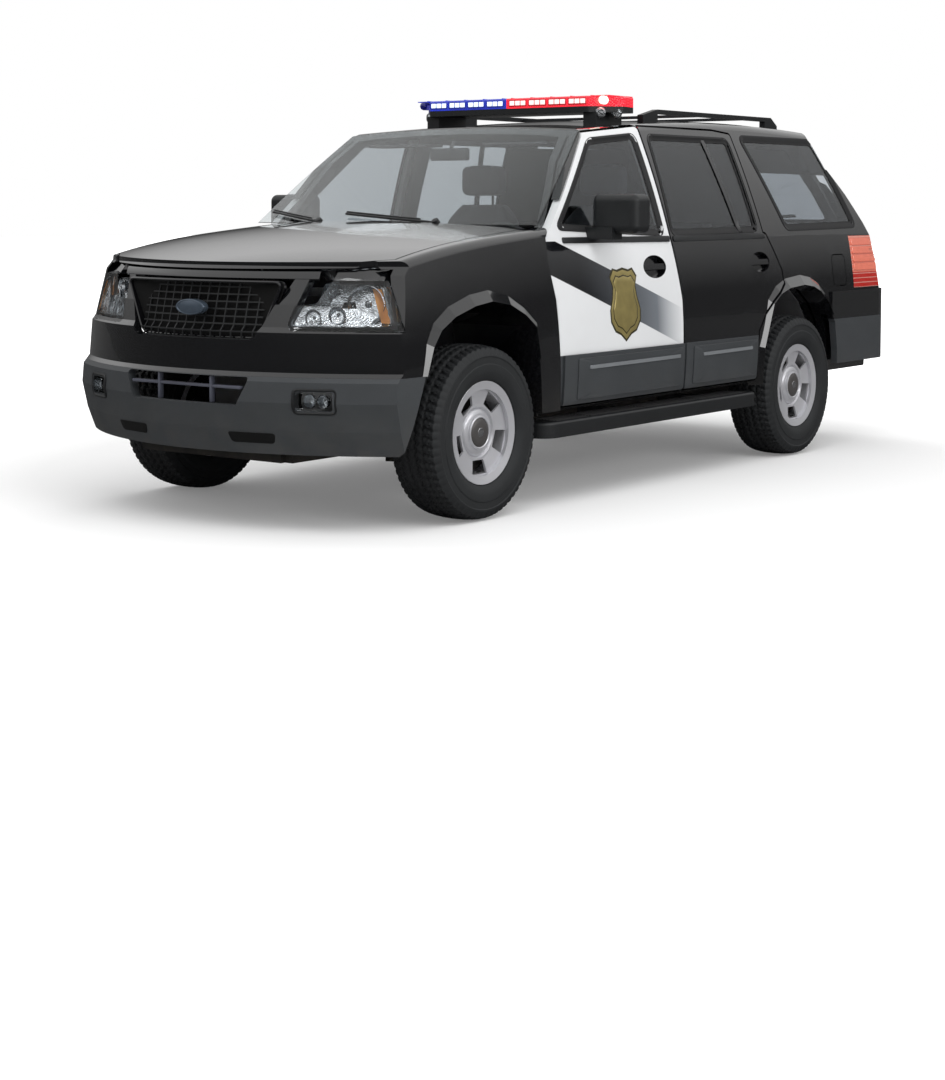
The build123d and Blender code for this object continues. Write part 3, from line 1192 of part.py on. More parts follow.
for label, low_z, high_z in (("rear_bumper", REAR_VALANCE_TOP_Z + SEAM, REAR_BUMPER_TOP_Z),
                             ("rear_valance", REAR_BUMPER_LOW_Z, REAR_VALANCE_TOP_Z)):
    with BuildPart() as bumper:
        add(rear_bumper_form(0, low_z, high_z))
        inner_top_z = high_z - REAR_BUMPER_T if label == "rear_bumper" else TOP
        add(rear_bumper_form(REAR_BUMPER_T, low_z - OVERRUN, inner_top_z), mode=Mode.SUBTRACT)
        add(box_between((-FAR, -WIDE, 0), (REAR_BUMPER_FRONT_X, WIDE, TOP)), mode=Mode.INTERSECT)
        add(body_hull(LAMP_DEPTH / 2, LAMP_DEPTH / 2)
            & turned_form(TAIL_PROFILE_SHARES, TAIL_AXIS_X, -1, -GAP), mode=Mode.SUBTRACT)
        add(side_cut(REAR_ARCH, -WIDE, WIDE), mode=Mode.SUBTRACT)
    bumper.part.label = label
    export_step(bumper.part, f"parts/{label}.step")

# Running boards
with BuildPart() as running_boards:
    with BuildSketch(Plane.XY.offset(BOARD_LOW_Z)) as board_plan:
        with Locations(((BOARD_FRONT_X + BOARD_REAR_X) / 2, (BOARD_IN_Y + BOARD_OUT_Y) / 2)):
            Rectangle(BOARD_FRONT_X - BOARD_REAR_X, BOARD_OUT_Y - BOARD_IN_Y)
        fillet(board_plan.vertices().group_by(Axis.Y)[-1], BOARD_CORNER_R)
    extrude(amount=BOARD_H)
    fillet(running_boards.edges().group_by(Axis.Z)[-1], BOARD_EDGE_R)
    for share in BRACKET_SHARES:
        add(box_between((HALF_LENGTH * share - MOUNT_R, rail_face + SEAM, RAIL_LOW_Z + MOUNT_R),
                        (HALF_LENGTH * share + MOUNT_R, BOARD_IN_Y + SEAM, RAIL_LOW_Z + 2 * MOUNT_R)))
    mirror(about=Plane.XZ)
running_boards.part.label = "running_boards"
export_step(running_boards.part, "parts/running_boards.step")

# Roof rack
CROSSBAR_X = [HALF_LENGTH * share for share in (-0.330, -0.523)]
with BuildPart() as roof_rack:
    rack_z = ROOF_Z + RACK_RISE
    with BuildSketch(Plane.XZ.offset(-(RACK_Y + RACK_W / 2))) as rack_side:
        with BuildLine():
            Polyline((RACK_FRONT_X, ROOF_Z - OVERRUN), (RACK_FRONT_X, ROOF_Z + RACK_H / 2),
                     (RACK_FRONT_X - RACK_FOOT, rack_z), (RACK_REAR_X + RACK_FOOT / 2, rack_z),
                     (RACK_REAR_X, ROOF_Z), (RACK_REAR_X, ROOF_Z - OVERRUN),
                     (RACK_REAR_X + RACK_FOOT, ROOF_Z - OVERRUN),
                     (RACK_REAR_X + RACK_FOOT, rack_z - RACK_H), (RACK_FRONT_X - RACK_FOOT, rack_z - RACK_H),
                     (RACK_FRONT_X - RACK_FOOT, ROOF_Z - OVERRUN), close=True)
        make_face()
    extrude(amount=RACK_W)
    mirror(about=Plane.XZ)
    for x in CROSSBAR_X:
        add(box_between((x - RACK_W / 2, -RACK_Y, rack_z - RACK_H),
                        (x + RACK_W / 2, RACK_Y, rack_z - RACK_H / 3)))
    add(shell_outer, mode=Mode.SUBTRACT)
roof_rack.part.label = "roof_rack"
export_step(roof_rack.part, "parts/roof_rack.step")

# Light bar: base on two feet, and its lens in two colours of pieces
bar_points = [(BAR_FRONT_X, -BAR_CORNER_HALF), (BAR_FRONT_X, BAR_CORNER_HALF),
              ((BAR_FRONT_X + BAR_REAR_X) / 2, BAR_HALF), (BAR_REAR_X, BAR_HALF - BAR_CORNER_R),
              (BAR_REAR_X, BAR_CORNER_R - BAR_HALF), ((BAR_FRONT_X + BAR_REAR_X) / 2, -BAR_HALF)]
with BuildPart() as light_bar_base:
    add(plan_cut(bar_points, BAR_LOW_Z, BAR_LOW_Z + BAR_BASE_H, BAR_CORNER_R))
    for sign in (1, -1):
        add(box_between((BAR_REAR_X + BAR_CORNER_R, sign * BAR_CORNER_HALF - BAR_FOOT_HALF,
                         ROOF_Z - 2 * OVERRUN),
                        (BAR_FRONT_X - BAR_CORNER_R, sign * BAR_CORNER_HALF + BAR_FOOT_HALF, BAR_LOW_Z)))
    add(shell_outer, mode=Mode.SUBTRACT)
light_bar_base.part.label = "light_bar_base"
export_step(light_bar_base.part, "parts/light_bar_base.step")
for label, sign in (("light_bar_red", 1), ("light_bar_blue", -1)):
    with BuildPart() as lens:
        add(plan_cut(bar_points, BAR_LOW_Z + BAR_BASE_H + SEAM, BAR_TOP_Z, BAR_CORNER_R))
        fillet(lens.edges().group_by(Axis.Z)[-1], BAR_EDGE_R)
        y_from, y_to = sorted((sign * SEAM, sign * WIDE))
        add(box_between((-FAR, y_from, 0), (FAR, y_to, 2 * TOP)), mode=Mode.INTERSECT)
    lens.part.label = label
    export_step(lens.part, f"parts/{label}.step")

# Seats, dashboard and steering wheel
floor_top = SILL_Z + FLOOR_T


def seat_solid(x, y, width, rests):
    """A seat facing forward: base, cushion, back and head restraints."""
    cushion_top = floor_top + SEAT_BASE_H + SEAT_CUSHION_H
    with BuildPart() as seat:
        with BuildSketch(Plane.XZ.offset(-(y + width / 2))) as side_view:
            with BuildLine():
                Polyline((x + SEAT_CUSHION_L / 2, cushion_top),
                         (x + SEAT_CUSHION_L / 2, cushion_top - SEAT_CUSHION_H),
                         (x - SEAT_CUSHION_L / 2, cushion_top - SEAT_CUSHION_H),
                         (x - SEAT_CUSHION_L / 2 - SEAT_BACK_T * 1.5, cushion_top + SEAT_BACK_H),
                         (x - SEAT_CUSHION_L / 2 - SEAT_BACK_T / 2, cushion_top + SEAT_BACK_H),
                         (x - SEAT_CUSHION_L / 2 + SEAT_BACK_T, cushion_top), close=True)
            make_face()
            fillet(side_view.vertices(), SEAT_EDGE_R)
        extrude(amount=width)
        for rest_y in rests:
            back_x = x - SEAT_CUSHION_L / 2 - SEAT_BACK_T
            add(box_between((back_x - HEADREST_T / 2, rest_y - HEADREST_W / 2,
                             cushion_top + SEAT_BACK_H - SEAT_EDGE_R),
                            (back_x + HEADREST_T / 2, rest_y + HEADREST_W / 2,
                             cushion_top + SEAT_BACK_H + HEADREST_H)))
    return seat.part


def seat_base(x, y, width):
    return box_between((x - SEAT_CUSHION_L / 2 + SEAT_EDGE_R, y - width / 2 + SEAT_EDGE_R, floor_top),
                       (x + SEAT_CUSHION_L / 2 - SEAT_EDGE_R, y + width / 2 - SEAT_EDGE_R,
                        floor_top + SEAT_BASE_H - SEAM))


with BuildPart() as front_seats:
    for sign in (1, -1):
        add(seat_solid(FRONT_SEAT_X, sign * SEAT_Y, SEAT_W, [sign * SEAT_Y]))
front_seats.part.label = "front_seats"
export_step(front_seats.part, "parts/front_seats.step")
with BuildPart() as rear_seat:
    add(seat_solid(REAR_SEAT_X, 0, REAR_SEAT_W, [SEAT_Y, -SEAT_Y]))
rear_seat.part.label = "rear_seat"
export_step(rear_seat.part, "parts/rear_seat.step")
with BuildPart() as seat_bases:
    for sign in (1, -1):
        add(seat_base(FRONT_SEAT_X, sign * SEAT_Y, SEAT_W))
    add(seat_base(REAR_SEAT_X, 0, REAR_SEAT_W))
seat_bases.part.label = "seat_bases"
export_step(seat_bases.part, "parts/seat_bases.step")

with BuildPart() as dashboard:
    with BuildSketch(Plane.XZ.offset(-DASH_HALF)) as dash_side:
        with BuildLine():
            Polyline((FIREWALL_X - FLOOR_T - SEAM, DASH_TOP_Z), (FIREWALL_X - FLOOR_T - SEAM, DASH_LOW_Z),
                     (DASH_REAR_X + SEAT_EDGE_R, DASH_LOW_Z - SEAT_EDGE_R),
                     (DASH_REAR_X, DASH_TOP_Z - 2 * SEAT_EDGE_R),
                     (DASH_REAR_X + 2 * SEAT_EDGE_R, DASH_TOP_Z), close=True)
        make_face()
    extrude(amount=2 * DASH_HALF)
    add(body_hull(DOOR_DEPTH + JAMB_CLEAR + JAMB_DEPTH + SEAM, DOOR_DEPTH + JAMB_CLEAR + JAMB_DEPTH + SEAM),
        mode=Mode.INTERSECT)
dashboard.part.label = "dashboard"
export_step(dashboard.part, "parts/dashboard.step")

wheel_centre = (DASH_REAR_X - WHEEL_RING_R / 2, SEAT_Y, DASH_TOP_Z - 2 * SEAT_EDGE_R)
tilt = math.radians(WHEEL_TILT)
wheel_plane = Plane(origin=wheel_centre, x_dir=(0, 1, 0), z_dir=(-math.cos(tilt), 0, math.sin(tilt)))
ring_side = wheel_plane.origin + wheel_plane.x_dir * WHEEL_RING_R
with BuildPart() as steering_wheel:
    with BuildSketch(Plane(origin=ring_side, x_dir=wheel_plane.x_dir, z_dir=wheel_plane.y_dir)):
        Circle(WHEEL_TUBE_R)
    revolve(axis=Axis(wheel_plane.origin, wheel_plane.z_dir))
    with BuildSketch(wheel_plane):
        Rectangle(2 * WHEEL_RING_R, 2 * WHEEL_TUBE_R)
        Circle(WHEEL_RING_R / 3)
    extrude(amount=WHEEL_TUBE_R / 2, both=True)
    with BuildSketch(wheel_plane):
        Circle(2 * WHEEL_TUBE_R)
    extrude(amount=-WHEEL_RING_R)
    add(dashboard.part, mode=Mode.SUBTRACT)
steering_wheel.part.label = "steering_wheel"
export_step(steering_wheel.part, "parts/steering_wheel.step")

# Mirrors on the front doors
for side, sign in SIDES:
    with BuildPart() as mirror_case:
        add(box_between((MIRROR_X - MIRROR_L / 2, MIRROR_TIP_Y - MIRROR_W, MIRROR_LOW_Z),
                        (MIRROR_X + MIRROR_L / 2, MIRROR_TIP_Y, MIRROR_LOW_Z + MIRROR_H)))
        fillet(mirror_case.edges(), MIRROR_EDGE_R)
        with BuildSketch(Plane.XZ.offset(-(MIRROR_TIP_Y - MIRROR_W / 2))):
            with Locations((MIRROR_X + MIRROR_L / 4, MIRROR_LOW_Z)):
                Rectangle(MIRROR_ARM_L, MIRROR_ARM_H)
        extrude(amount=MIRROR_W)
        add(body_hull(-SEAM, -SEAM), mode=Mode.SUBTRACT)
        if sign < 0:
            mirror(about=Plane.XZ, mode=Mode.REPLACE)
    mirror_case.part.label = f"mirror_{side}"
    export_step(mirror_case.part, f"parts/mirror_{side}.step")
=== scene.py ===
import math

import bmesh
import bpy
from mathutils import Matrix, Vector
from mathutils.bvhtree import BVHTree


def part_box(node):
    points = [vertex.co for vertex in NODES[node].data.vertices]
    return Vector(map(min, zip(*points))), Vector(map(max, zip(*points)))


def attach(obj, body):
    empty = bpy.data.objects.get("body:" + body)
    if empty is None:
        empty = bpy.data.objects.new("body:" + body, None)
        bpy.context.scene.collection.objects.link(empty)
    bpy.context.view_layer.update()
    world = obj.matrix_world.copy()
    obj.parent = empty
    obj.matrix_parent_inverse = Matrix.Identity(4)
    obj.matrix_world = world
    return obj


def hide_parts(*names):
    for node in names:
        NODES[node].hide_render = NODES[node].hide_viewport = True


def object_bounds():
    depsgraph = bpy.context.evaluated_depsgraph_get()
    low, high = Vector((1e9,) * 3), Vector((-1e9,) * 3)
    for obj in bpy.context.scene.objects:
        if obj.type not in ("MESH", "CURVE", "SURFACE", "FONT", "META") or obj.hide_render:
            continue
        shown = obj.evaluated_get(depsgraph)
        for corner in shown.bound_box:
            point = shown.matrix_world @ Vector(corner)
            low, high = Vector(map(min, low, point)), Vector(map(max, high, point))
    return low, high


bl_info = {
    "name": "Police SUV finish",
    "version": (1, 0, 0),
    "blender": (4, 5, 0),
    "location": "View3D > Sidebar > Police SUV",
    "description": "Gives the packed police sport utility vehicle its finishes, trim, lamps, seats and tyres",
    "category": "Object",
}

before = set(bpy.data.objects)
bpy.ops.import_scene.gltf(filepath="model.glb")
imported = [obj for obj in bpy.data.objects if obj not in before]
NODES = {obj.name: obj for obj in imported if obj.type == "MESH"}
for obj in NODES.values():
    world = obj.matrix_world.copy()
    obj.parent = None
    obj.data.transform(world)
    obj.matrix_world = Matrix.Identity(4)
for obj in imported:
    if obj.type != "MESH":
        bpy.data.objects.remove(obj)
CAD_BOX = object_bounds()
SIDES = (("left", 1), ("right", -1))
WHEELS = [(f"{row}_{side}", sign) for row in ("front", "rear") for side, sign in SIDES]
HALF_LENGTH = (CAD_BOX[1].x - CAD_BOX[0].x) / 2
ROOF_Z = 1.905
finishes = {}


# Node groups -----------------------------------------------------------------


def make_group(name, inputs, outputs):
    """An empty shader node group with named sockets, and its two ends."""
    group = bpy.data.node_groups.new(name, "ShaderNodeTree")
    kinds = {"value": "NodeSocketFloat", "colour": "NodeSocketColor", "vector": "NodeSocketVector"}
    for label, kind, default in inputs:
        socket = group.interface.new_socket(label, in_out="INPUT", socket_type=kinds[kind])
        if default is not None:
            socket.default_value = default
    for label, kind in outputs:
        group.interface.new_socket(label, in_out="OUTPUT", socket_type=kinds[kind])
    return group, group.nodes.new("NodeGroupInput"), group.nodes.new("NodeGroupOutput")


class Wiring:
    """Adds linked nodes to a node tree in few words."""

    def __init__(self, tree):
        self.tree = tree

    def put(self, kind, inputs=(), **settings):
        node = self.tree.nodes.new(kind)
        for key, value in settings.items():
            setattr(node, key, value)
        for key, value in dict(inputs).items():
            self.feed(node.inputs[key], value)
        return node

    def feed(self, socket, value):
        """Links a socket, or sets its own value."""
        if isinstance(value, bpy.types.NodeSocket):
            self.tree.links.new(value, socket)
        else:
            socket.default_value = value

    def maths(self, operation, a, b=0.0, c=0.0, clamp=False):
        return self.put("ShaderNodeMath", {0: a, 1: b, 2: c}, operation=operation, use_clamp=clamp).outputs[0]

    def ramp(self, value, low, high, out_low=0.0, out_high=1.0):
        return self.put("ShaderNodeMapRange", {"Value": value, "From Min": low, "From Max": high,
                                               "To Min": out_low, "To Max": out_high}).outputs["Result"]

    def mix(self, factor, a, b):
        return self.put("ShaderNodeMix", {0: factor, 6: a, 7: b}, data_type="RGBA").outputs[2]

    def scaled(self, colour, factor):
        """A colour made lighter or darker by a factor."""
        node = self.put("ShaderNodeVectorMath", {0: colour}, operation="SCALE")
        self.tree.links.new(factor, node.inputs["Scale"])
        return node.outputs[0]


def build_groups():
    """The effects that several finishes share."""
    group, enter, leave = make_group(
        "colour_drift", [("Vector", "vector", None), ("Colour", "colour", None), ("Scale", "value", 3.0),
                         ("Amount", "value", 0.1)], [("Colour", "colour")])
    w = Wiring(group)
    noise = w.put("ShaderNodeTexNoise", {"Vector": enter.outputs["Vector"], "Scale": enter.outputs["Scale"],
                                         "Detail": 4.0})
    spread = w.maths("SUBTRACT", noise.outputs["Fac"], 0.5)
    gain = w.maths("MULTIPLY_ADD", w.maths("MULTIPLY", spread, enter.outputs["Amount"]), 2.0, 1.0)
    group.links.new(w.scaled(enter.outputs["Colour"], gain), leave.inputs["Colour"])

    group, enter, leave = make_group(
        "road_dust", [("Vector", "vector", None), ("Colour", "colour", None), ("Top", "value", 0.7),
                      ("Amount", "value", 0.3)], [("Colour", "colour"), ("Mask", "value")])
    w = Wiring(group)
    height = w.put("ShaderNodeSeparateXYZ", {0: enter.outputs["Vector"]}).outputs["Z"]
    low = w.put("ShaderNodeMapRange", {"Value": height, "From Min": enter.outputs["Top"], "From Max": 0.25,
                                       "To Min": 0.0, "To Max": 1.0}).outputs["Result"]
    patch = w.put("ShaderNodeTexNoise", {"Vector": enter.outputs["Vector"], "Scale": 9.0, "Detail": 7.0,
                                         "Roughness": 0.62}).outputs["Fac"]
    mask = w.maths("MULTIPLY", w.maths("MULTIPLY", low, w.ramp(patch, 0.35, 0.72)), enter.outputs["Amount"],
                   clamp=True)
    dusty = w.mix(mask, enter.outputs["Colour"], (0.10, 0.088, 0.072, 1))
    group.links.new(dusty, leave.inputs["Colour"])
    group.links.new(mask, leave.inputs["Mask"])

    group, enter, leave = make_group(
        "moulded_grain", [("Vector", "vector", None), ("Scale", "value", 900.0), ("Pits", "value", 0.5)],
        [("Height", "value")])
    w = Wiring(group)
    fine = w.put("ShaderNodeTexNoise", {"Vector": enter.outputs["Vector"], "Scale": enter.outputs["Scale"],
                                        "Detail": 3.0}).outputs["Fac"]
    cells = w.put("ShaderNodeTexVoronoi", {"Vector": enter.outputs["Vector"],
                                           "Scale": enter.outputs["Scale"]})
    pits = w.maths("MULTIPLY", cells.outputs["Distance"], enter.outputs["Pits"])
    group.links.new(w.maths("ADD", fine, pits), leave.inputs["Height"])

    group, enter, leave = make_group(
        "woven_cloth", [("Vector", "vector", None), ("Threads", "value", 600.0)],
        [("Height", "value"), ("Shade", "value")])
    w = Wiring(group)
    parts = w.put("ShaderNodeSeparateXYZ", {0: enter.outputs["Vector"]})
    rows = []
    for across, along in (("X", "Y"), ("Z", "Y")):
        a = w.maths("SINE", w.maths("MULTIPLY", parts.outputs[across], enter.outputs["Threads"]))
        b = w.maths("SINE", w.maths("MULTIPLY", parts.outputs[along], enter.outputs["Threads"]))
        rows.append(w.maths("MULTIPLY", a, b))
    weave = w.maths("ADD", rows[0], rows[1])
    group.links.new(weave, leave.inputs["Height"])
    group.links.new(w.ramp(weave, -2.0, 2.0, 0.75, 1.15), leave.inputs["Shade"])

    group, enter, leave = make_group(
        "lens_prisms", [("Vector", "vector", None), ("Pitch", "value", 90.0)], [("Height", "value")])
    w = Wiring(group)
    parts = w.put("ShaderNodeSeparateXYZ", {0: enter.outputs["Vector"]})
    flutes = w.maths("SINE", w.maths("MULTIPLY", parts.outputs["Y"], enter.outputs["Pitch"]))
    steps = w.maths("SINE", w.maths("MULTIPLY", parts.outputs["Z"], enter.outputs["Pitch"]))
    group.links.new(w.maths("MULTIPLY", flutes, steps), leave.inputs["Height"])


class Finish:
    """One material under construction: its Principled shader, coordinates and wiring."""

    def __init__(self, name, colour, roughness, metallic=0.0, **sockets):
        self.material = bpy.data.materials.new(name)
        self.material.use_nodes = True
        self.tree = self.material.node_tree
        self.w = Wiring(self.tree)
        self.shader = self.tree.nodes["Principled BSDF"]
        self.place = self.w.put("ShaderNodeTexCoord").outputs["Object"]
        self.colour = tuple(colour) + (1.0,)
        self.shader.inputs["Base Color"].default_value = self.colour
        self.shader.inputs["Roughness"].default_value = roughness
        self.shader.inputs["Metallic"].default_value = metallic
        for key, value in sockets.items():
            self.shader.inputs[key.replace("_", " ")].default_value = value
        self.roughness = roughness
        finishes[name] = self.material

    def group(self, name, inputs):
        node = self.w.put("ShaderNodeGroup", node_tree=bpy.data.node_groups[name])
        for key, value in inputs.items():
            self.w.feed(node.inputs[key], value)
        return node

    def drift(self, amount=0.12, scale=3.0):
        self.colour = self.group("colour_drift", {"Vector": self.place, "Colour": self.colour, "Scale": scale,
                                                  "Amount": amount}).outputs["Colour"]
        return self

    def dust(self, amount=0.3, top=0.7):
        node = self.group("road_dust", {"Vector": self.place, "Colour": self.colour, "Top": top,
                                        "Amount": amount})
        self.colour = node.outputs["Colour"]
        self.roughness = self.w.maths("MULTIPLY_ADD", node.outputs["Mask"], 0.35, self.roughness, clamp=True)
        return self

    def grain(self, strength=0.3, scale=900.0, pits=0.5, depth=0.0006):
        height = self.group("moulded_grain", {"Vector": self.place, "Scale": scale, "Pits": pits})
        return self.bump(height.outputs["Height"], strength, depth)

    def bump(self, height, strength, depth):
        node = self.w.put("ShaderNodeBump", {"Strength": strength, "Distance": depth, "Height": height})
        self.tree.links.new(node.outputs["Normal"], self.shader.inputs["Normal"])
        return self

    def shine(self, colour, pattern, low, high, strength):
        """Light of its own that follows a pattern."""
        lit = self.w.scaled(tuple(colour), self.w.ramp(pattern, -1.0, 1.0, low, high))
        self.tree.links.new(lit, self.shader.inputs["Emission Color"])
        self.shader.inputs["Emission Strength"].default_value = strength

    def done(self):
        for value, key in ((self.colour, "Base Color"), (self.roughness, "Roughness")):
            if isinstance(value, bpy.types.NodeSocket):
                self.tree.links.new(value, self.shader.inputs[key])
        return self.material


# Mesh helpers ----------------------------------------------------------------


def piece(name, verts, faces, finish, body, smooth=35.0):
    """A finished mesh piece that rides on a body."""
    mesh = bpy.data.meshes.new(name)
    mesh.from_pydata([tuple(v) for v in verts], [], faces)
    mesh.validate()
    obj = bpy.data.objects.new(name, mesh)
    bpy.context.scene.collection.objects.link(obj)
    return settle(obj, finish, body, smooth)


def settle(obj, finish, body, smooth=35.0):
    """Recalculates normals, sets the finish and ties a mesh to its body."""
    work = bmesh.new()
    work.from_mesh(obj.data)
    bmesh.ops.recalc_face_normals(work, faces=work.faces)
    work.to_mesh(obj.data)
    work.free()
    obj.data.materials.clear()
    obj.data.materials.append(finishes[finish])
    if smooth:
        obj.data.polygons.foreach_set("use_smooth", [True] * len(obj.data.polygons))
        obj.data.set_sharp_from_angle(angle=math.radians(smooth))
    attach(obj, body)
    return obj


class Form:
    """Collects vertices and faces of one piece from several simple forms."""

    def __init__(self):
        self.verts, self.faces = [], []

    def add(self, verts, faces):
        base = len(self.verts)
        self.verts += [Vector(v) for v in verts]
        self.faces += [tuple(base + i for i in face) for face in faces]
        return self

    def block(self, low, high, edge=0.002, steps=2):
        """A block with rounded edges."""
        work = bmesh.new()
        bmesh.ops.create_cube(work, size=1.0)
        size = Vector(high) - Vector(low)
        middle = (Vector(high) + Vector(low)) / 2
        for v in work.verts:
            v.co = Vector([v.co[i] * size[i] + middle[i] for i in range(3)])
        width = min(edge, min(size) * 0.45)
        bmesh.ops.bevel(work, geom=work.edges[:], offset=width, segments=steps, affect="EDGES", profile=0.5)
        work.verts.index_update()
        self.add([v.co for v in work.verts], [[v.index for v in f.verts] for f in work.faces])
        work.free()
        return self

    def turn(self, profile, centre, axis, count=48):
        """A turned form from (radius, place along the axis) points."""
        along = Vector(axis).normalized()
        side = along.orthogonal().normalized()
        third = along.cross(side)
        rings = []
        for radius, place in profile:
            rings.append([Vector(centre) + along * place
                          + (side * math.cos(t) + third * math.sin(t)) * max(radius, 0.00005)
                          for t in [2 * math.pi * k / count for k in range(count)]])
        return self.rings(rings, closed=True)

    def rings(self, rings, closed=True, capped=False):
        """Skins a list of point rings."""
        count = len(rings[0])
        verts = [p for ring in rings for p in ring]
        faces = []
        for r in range(len(rings) - 1):
            for k in range(count if closed else count - 1):
                n = (k + 1) % count
                faces.append((r * count + k, r * count + n, (r + 1) * count + n, (r + 1) * count + k))
        if capped:
            faces += [tuple(range(count)), tuple(range((len(rings) - 1) * count, len(rings) * count))]
        return self.add(verts, faces)

    def pipe(self, path, radius, count=10, closed=False):
        """A round tube along points."""
        path = [Vector(p) for p in path]
        rings = []
        for k, p in enumerate(path):
            before = path[k - 1] if k or closed else p
            after = path[(k + 1) % len(path)] if k + 1 < len(path) or closed else p
            along = (after - before).normalized()
            side = along.cross(Vector((0.13, 0.21, 0.97))).normalized()
            third = along.cross(side)
            rings.append([p + (side * math.cos(t) + third * math.sin(t)) * radius
                          for t in [2 * math.pi * i / count for i in range(count)]])
        if closed:
            rings.append(rings[0])
        return self.rings(rings, capped=not closed)

    def make(self, name, finish, body, slot=None, smooth=35.0):
        return piece(name, self.verts, self.faces, finish, body, smooth)


class Skin:
    """Finds the outer surface of some CAD nodes, looked at along one axis."""

    VIEWS = {"left": (1, 1), "right": (1, -1), "front": (0, 1), "rear": (0, -1), "top": (2, 1)}

    def __init__(self, names, view):
        self.axis, self.sign = self.VIEWS[view]
        verts, faces = [], []
        for name in names:
            mesh = NODES[name].data
            base = len(verts)
            verts += [v.co.copy() for v in mesh.vertices]
            faces += [[base + i for i in p.vertices] for p in mesh.polygons]
        self.tree = BVHTree.FromPolygons(verts, faces)
        self.free = [i for i in range(3) if i != self.axis]

    def at(self, a, b, lift=0.0, fallback=None):
        """The surface point at two coordinates, lifted off the surface along the view axis."""
        start = [0.0, 0.0, 0.0]
        start[self.free[0]], start[self.free[1]] = a, b
        start[self.axis] = 4.0 * self.sign
        aim = [0.0, 0.0, 0.0]
        aim[self.axis] = -float(self.sign)
        hit, normal, _, _ = self.tree.ray_cast(Vector(start), Vector(aim))
        if hit is None:
            point = Vector(start)
            point[self.axis] = fallback if fallback is not None else 0.0
            return point
        hit[self.axis] += lift * self.sign
        return hit


def rounded(points, radius, steps=5):
    """A closed outline with its corners rounded."""
    result = []
    count = len(points)
    for k in range(count):
        p, before, after = Vector(points[k]), Vector(points[k - 1]), Vector(points[(k + 1) % count])
        r = min(radius, (before - p).length * 0.45, (after - p).length * 0.45)
        a, b = p + (before - p).normalized() * r, p + (after - p).normalized() * r
        for i in range(steps + 1):
            t = i / steps
            result.append((a * (1 - t) + p * t) * (1 - t) + (p * (1 - t) + b * t) * t)
    return result


def spaced(points, gap, closed=True):
    """Adds points so that none are further apart than a gap."""
    result = []
    count = len(points)
    for k in range(count if closed else count - 1):
        a, b = Vector(points[k]), Vector(points[(k + 1) % count])
        n = max(1, math.ceil((b - a).length / gap))
        result += [a.lerp(b, i / n) for i in range(n)]
    if not closed:
        result.append(Vector(points[-1]))
    return result


def widened(points, amount):
    """A closed outline moved outward by an amount."""
    middle = sum(points, Vector((0, 0))) / len(points)
    result = []
    for k, p in enumerate(points):
        run = (points[(k + 1) % len(points)] - points[k - 1]).normalized()
        out = Vector((run.y, -run.x))
        if out.dot(p - middle) < 0:
            out = -out
        result.append(p + out * amount)
    return result


def outline(corners, radius, gap=0.02, steps=5):
    """A closed outline through corners, rounded and evenly filled with points."""
    return spaced(rounded([Vector(p) for p in corners], radius, steps), gap)


def soft(value, power):
    """A sine or cosine drawn towards a square wave, for soft-cornered sections."""
    return math.copysign(abs(value) ** power, value)


def band(form, skin, points, inner, outer, proud, root=0.002):
    """A raised strip that follows a closed outline on a surface."""
    rings = []
    for share, lift in ((0.0, -root), (0.0, proud * 0.8), (0.3, proud), (0.7, proud), (1.0, proud * 0.8),
                        (1.0, -root)):
        line = widened(points, inner * (1 - share) + outer * share)
        rings.append([skin.at(p.x, p.y, lift) for p in line])
    return form.rings(rings + [rings[0]])


def plate(form, skin, points, proud, root=0.002, rings_count=8, crown=0.0):
    """A closed patch laid on a surface, with a rounded edge."""
    middle = sum(points, Vector((0, 0))) / len(points)
    rings = [[skin.at(p.x, p.y, -root) for p in points], [skin.at(p.x, p.y, proud * 0.7) for p in points]]
    for r in range(rings_count):
        share = 1 - (r + 0.25) / rings_count if r else 0.985
        lift = proud + crown * (1 - share * share)
        rings.append([skin.at(*(middle + (p - middle) * max(share, 0.0)), lift) for p in points])
    form.rings(rings)
    base = len(form.verts) - len(points)
    form.faces.append(tuple(range(base, base + len(points))))
    return form


def side_outline(shares):
    return [Vector((HALF_LENGTH * x, ROOF_Z * z)) for x, z in shares]


FRONT_WINDOW = side_outline([(0.374, 0.694), (0.190, 0.925), (0.017, 0.945), (0.006, 0.674)])
REAR_WINDOW = side_outline([(-0.028, 0.674), (-0.032, 0.945), (-0.353, 0.945), (-0.379, 0.680)])
QUARTER_WINDOW = side_outline([(-0.513, 0.684), (-0.412, 0.953), (-0.748, 0.953), (-0.853, 0.690)])


def shade_node(name, finish):
    """Gives a CAD node one finish."""
    obj = NODES[name]
    obj.data.materials.clear()
    obj.data.materials.append(finishes[finish])


# Settings --------------------------------------------------------------------


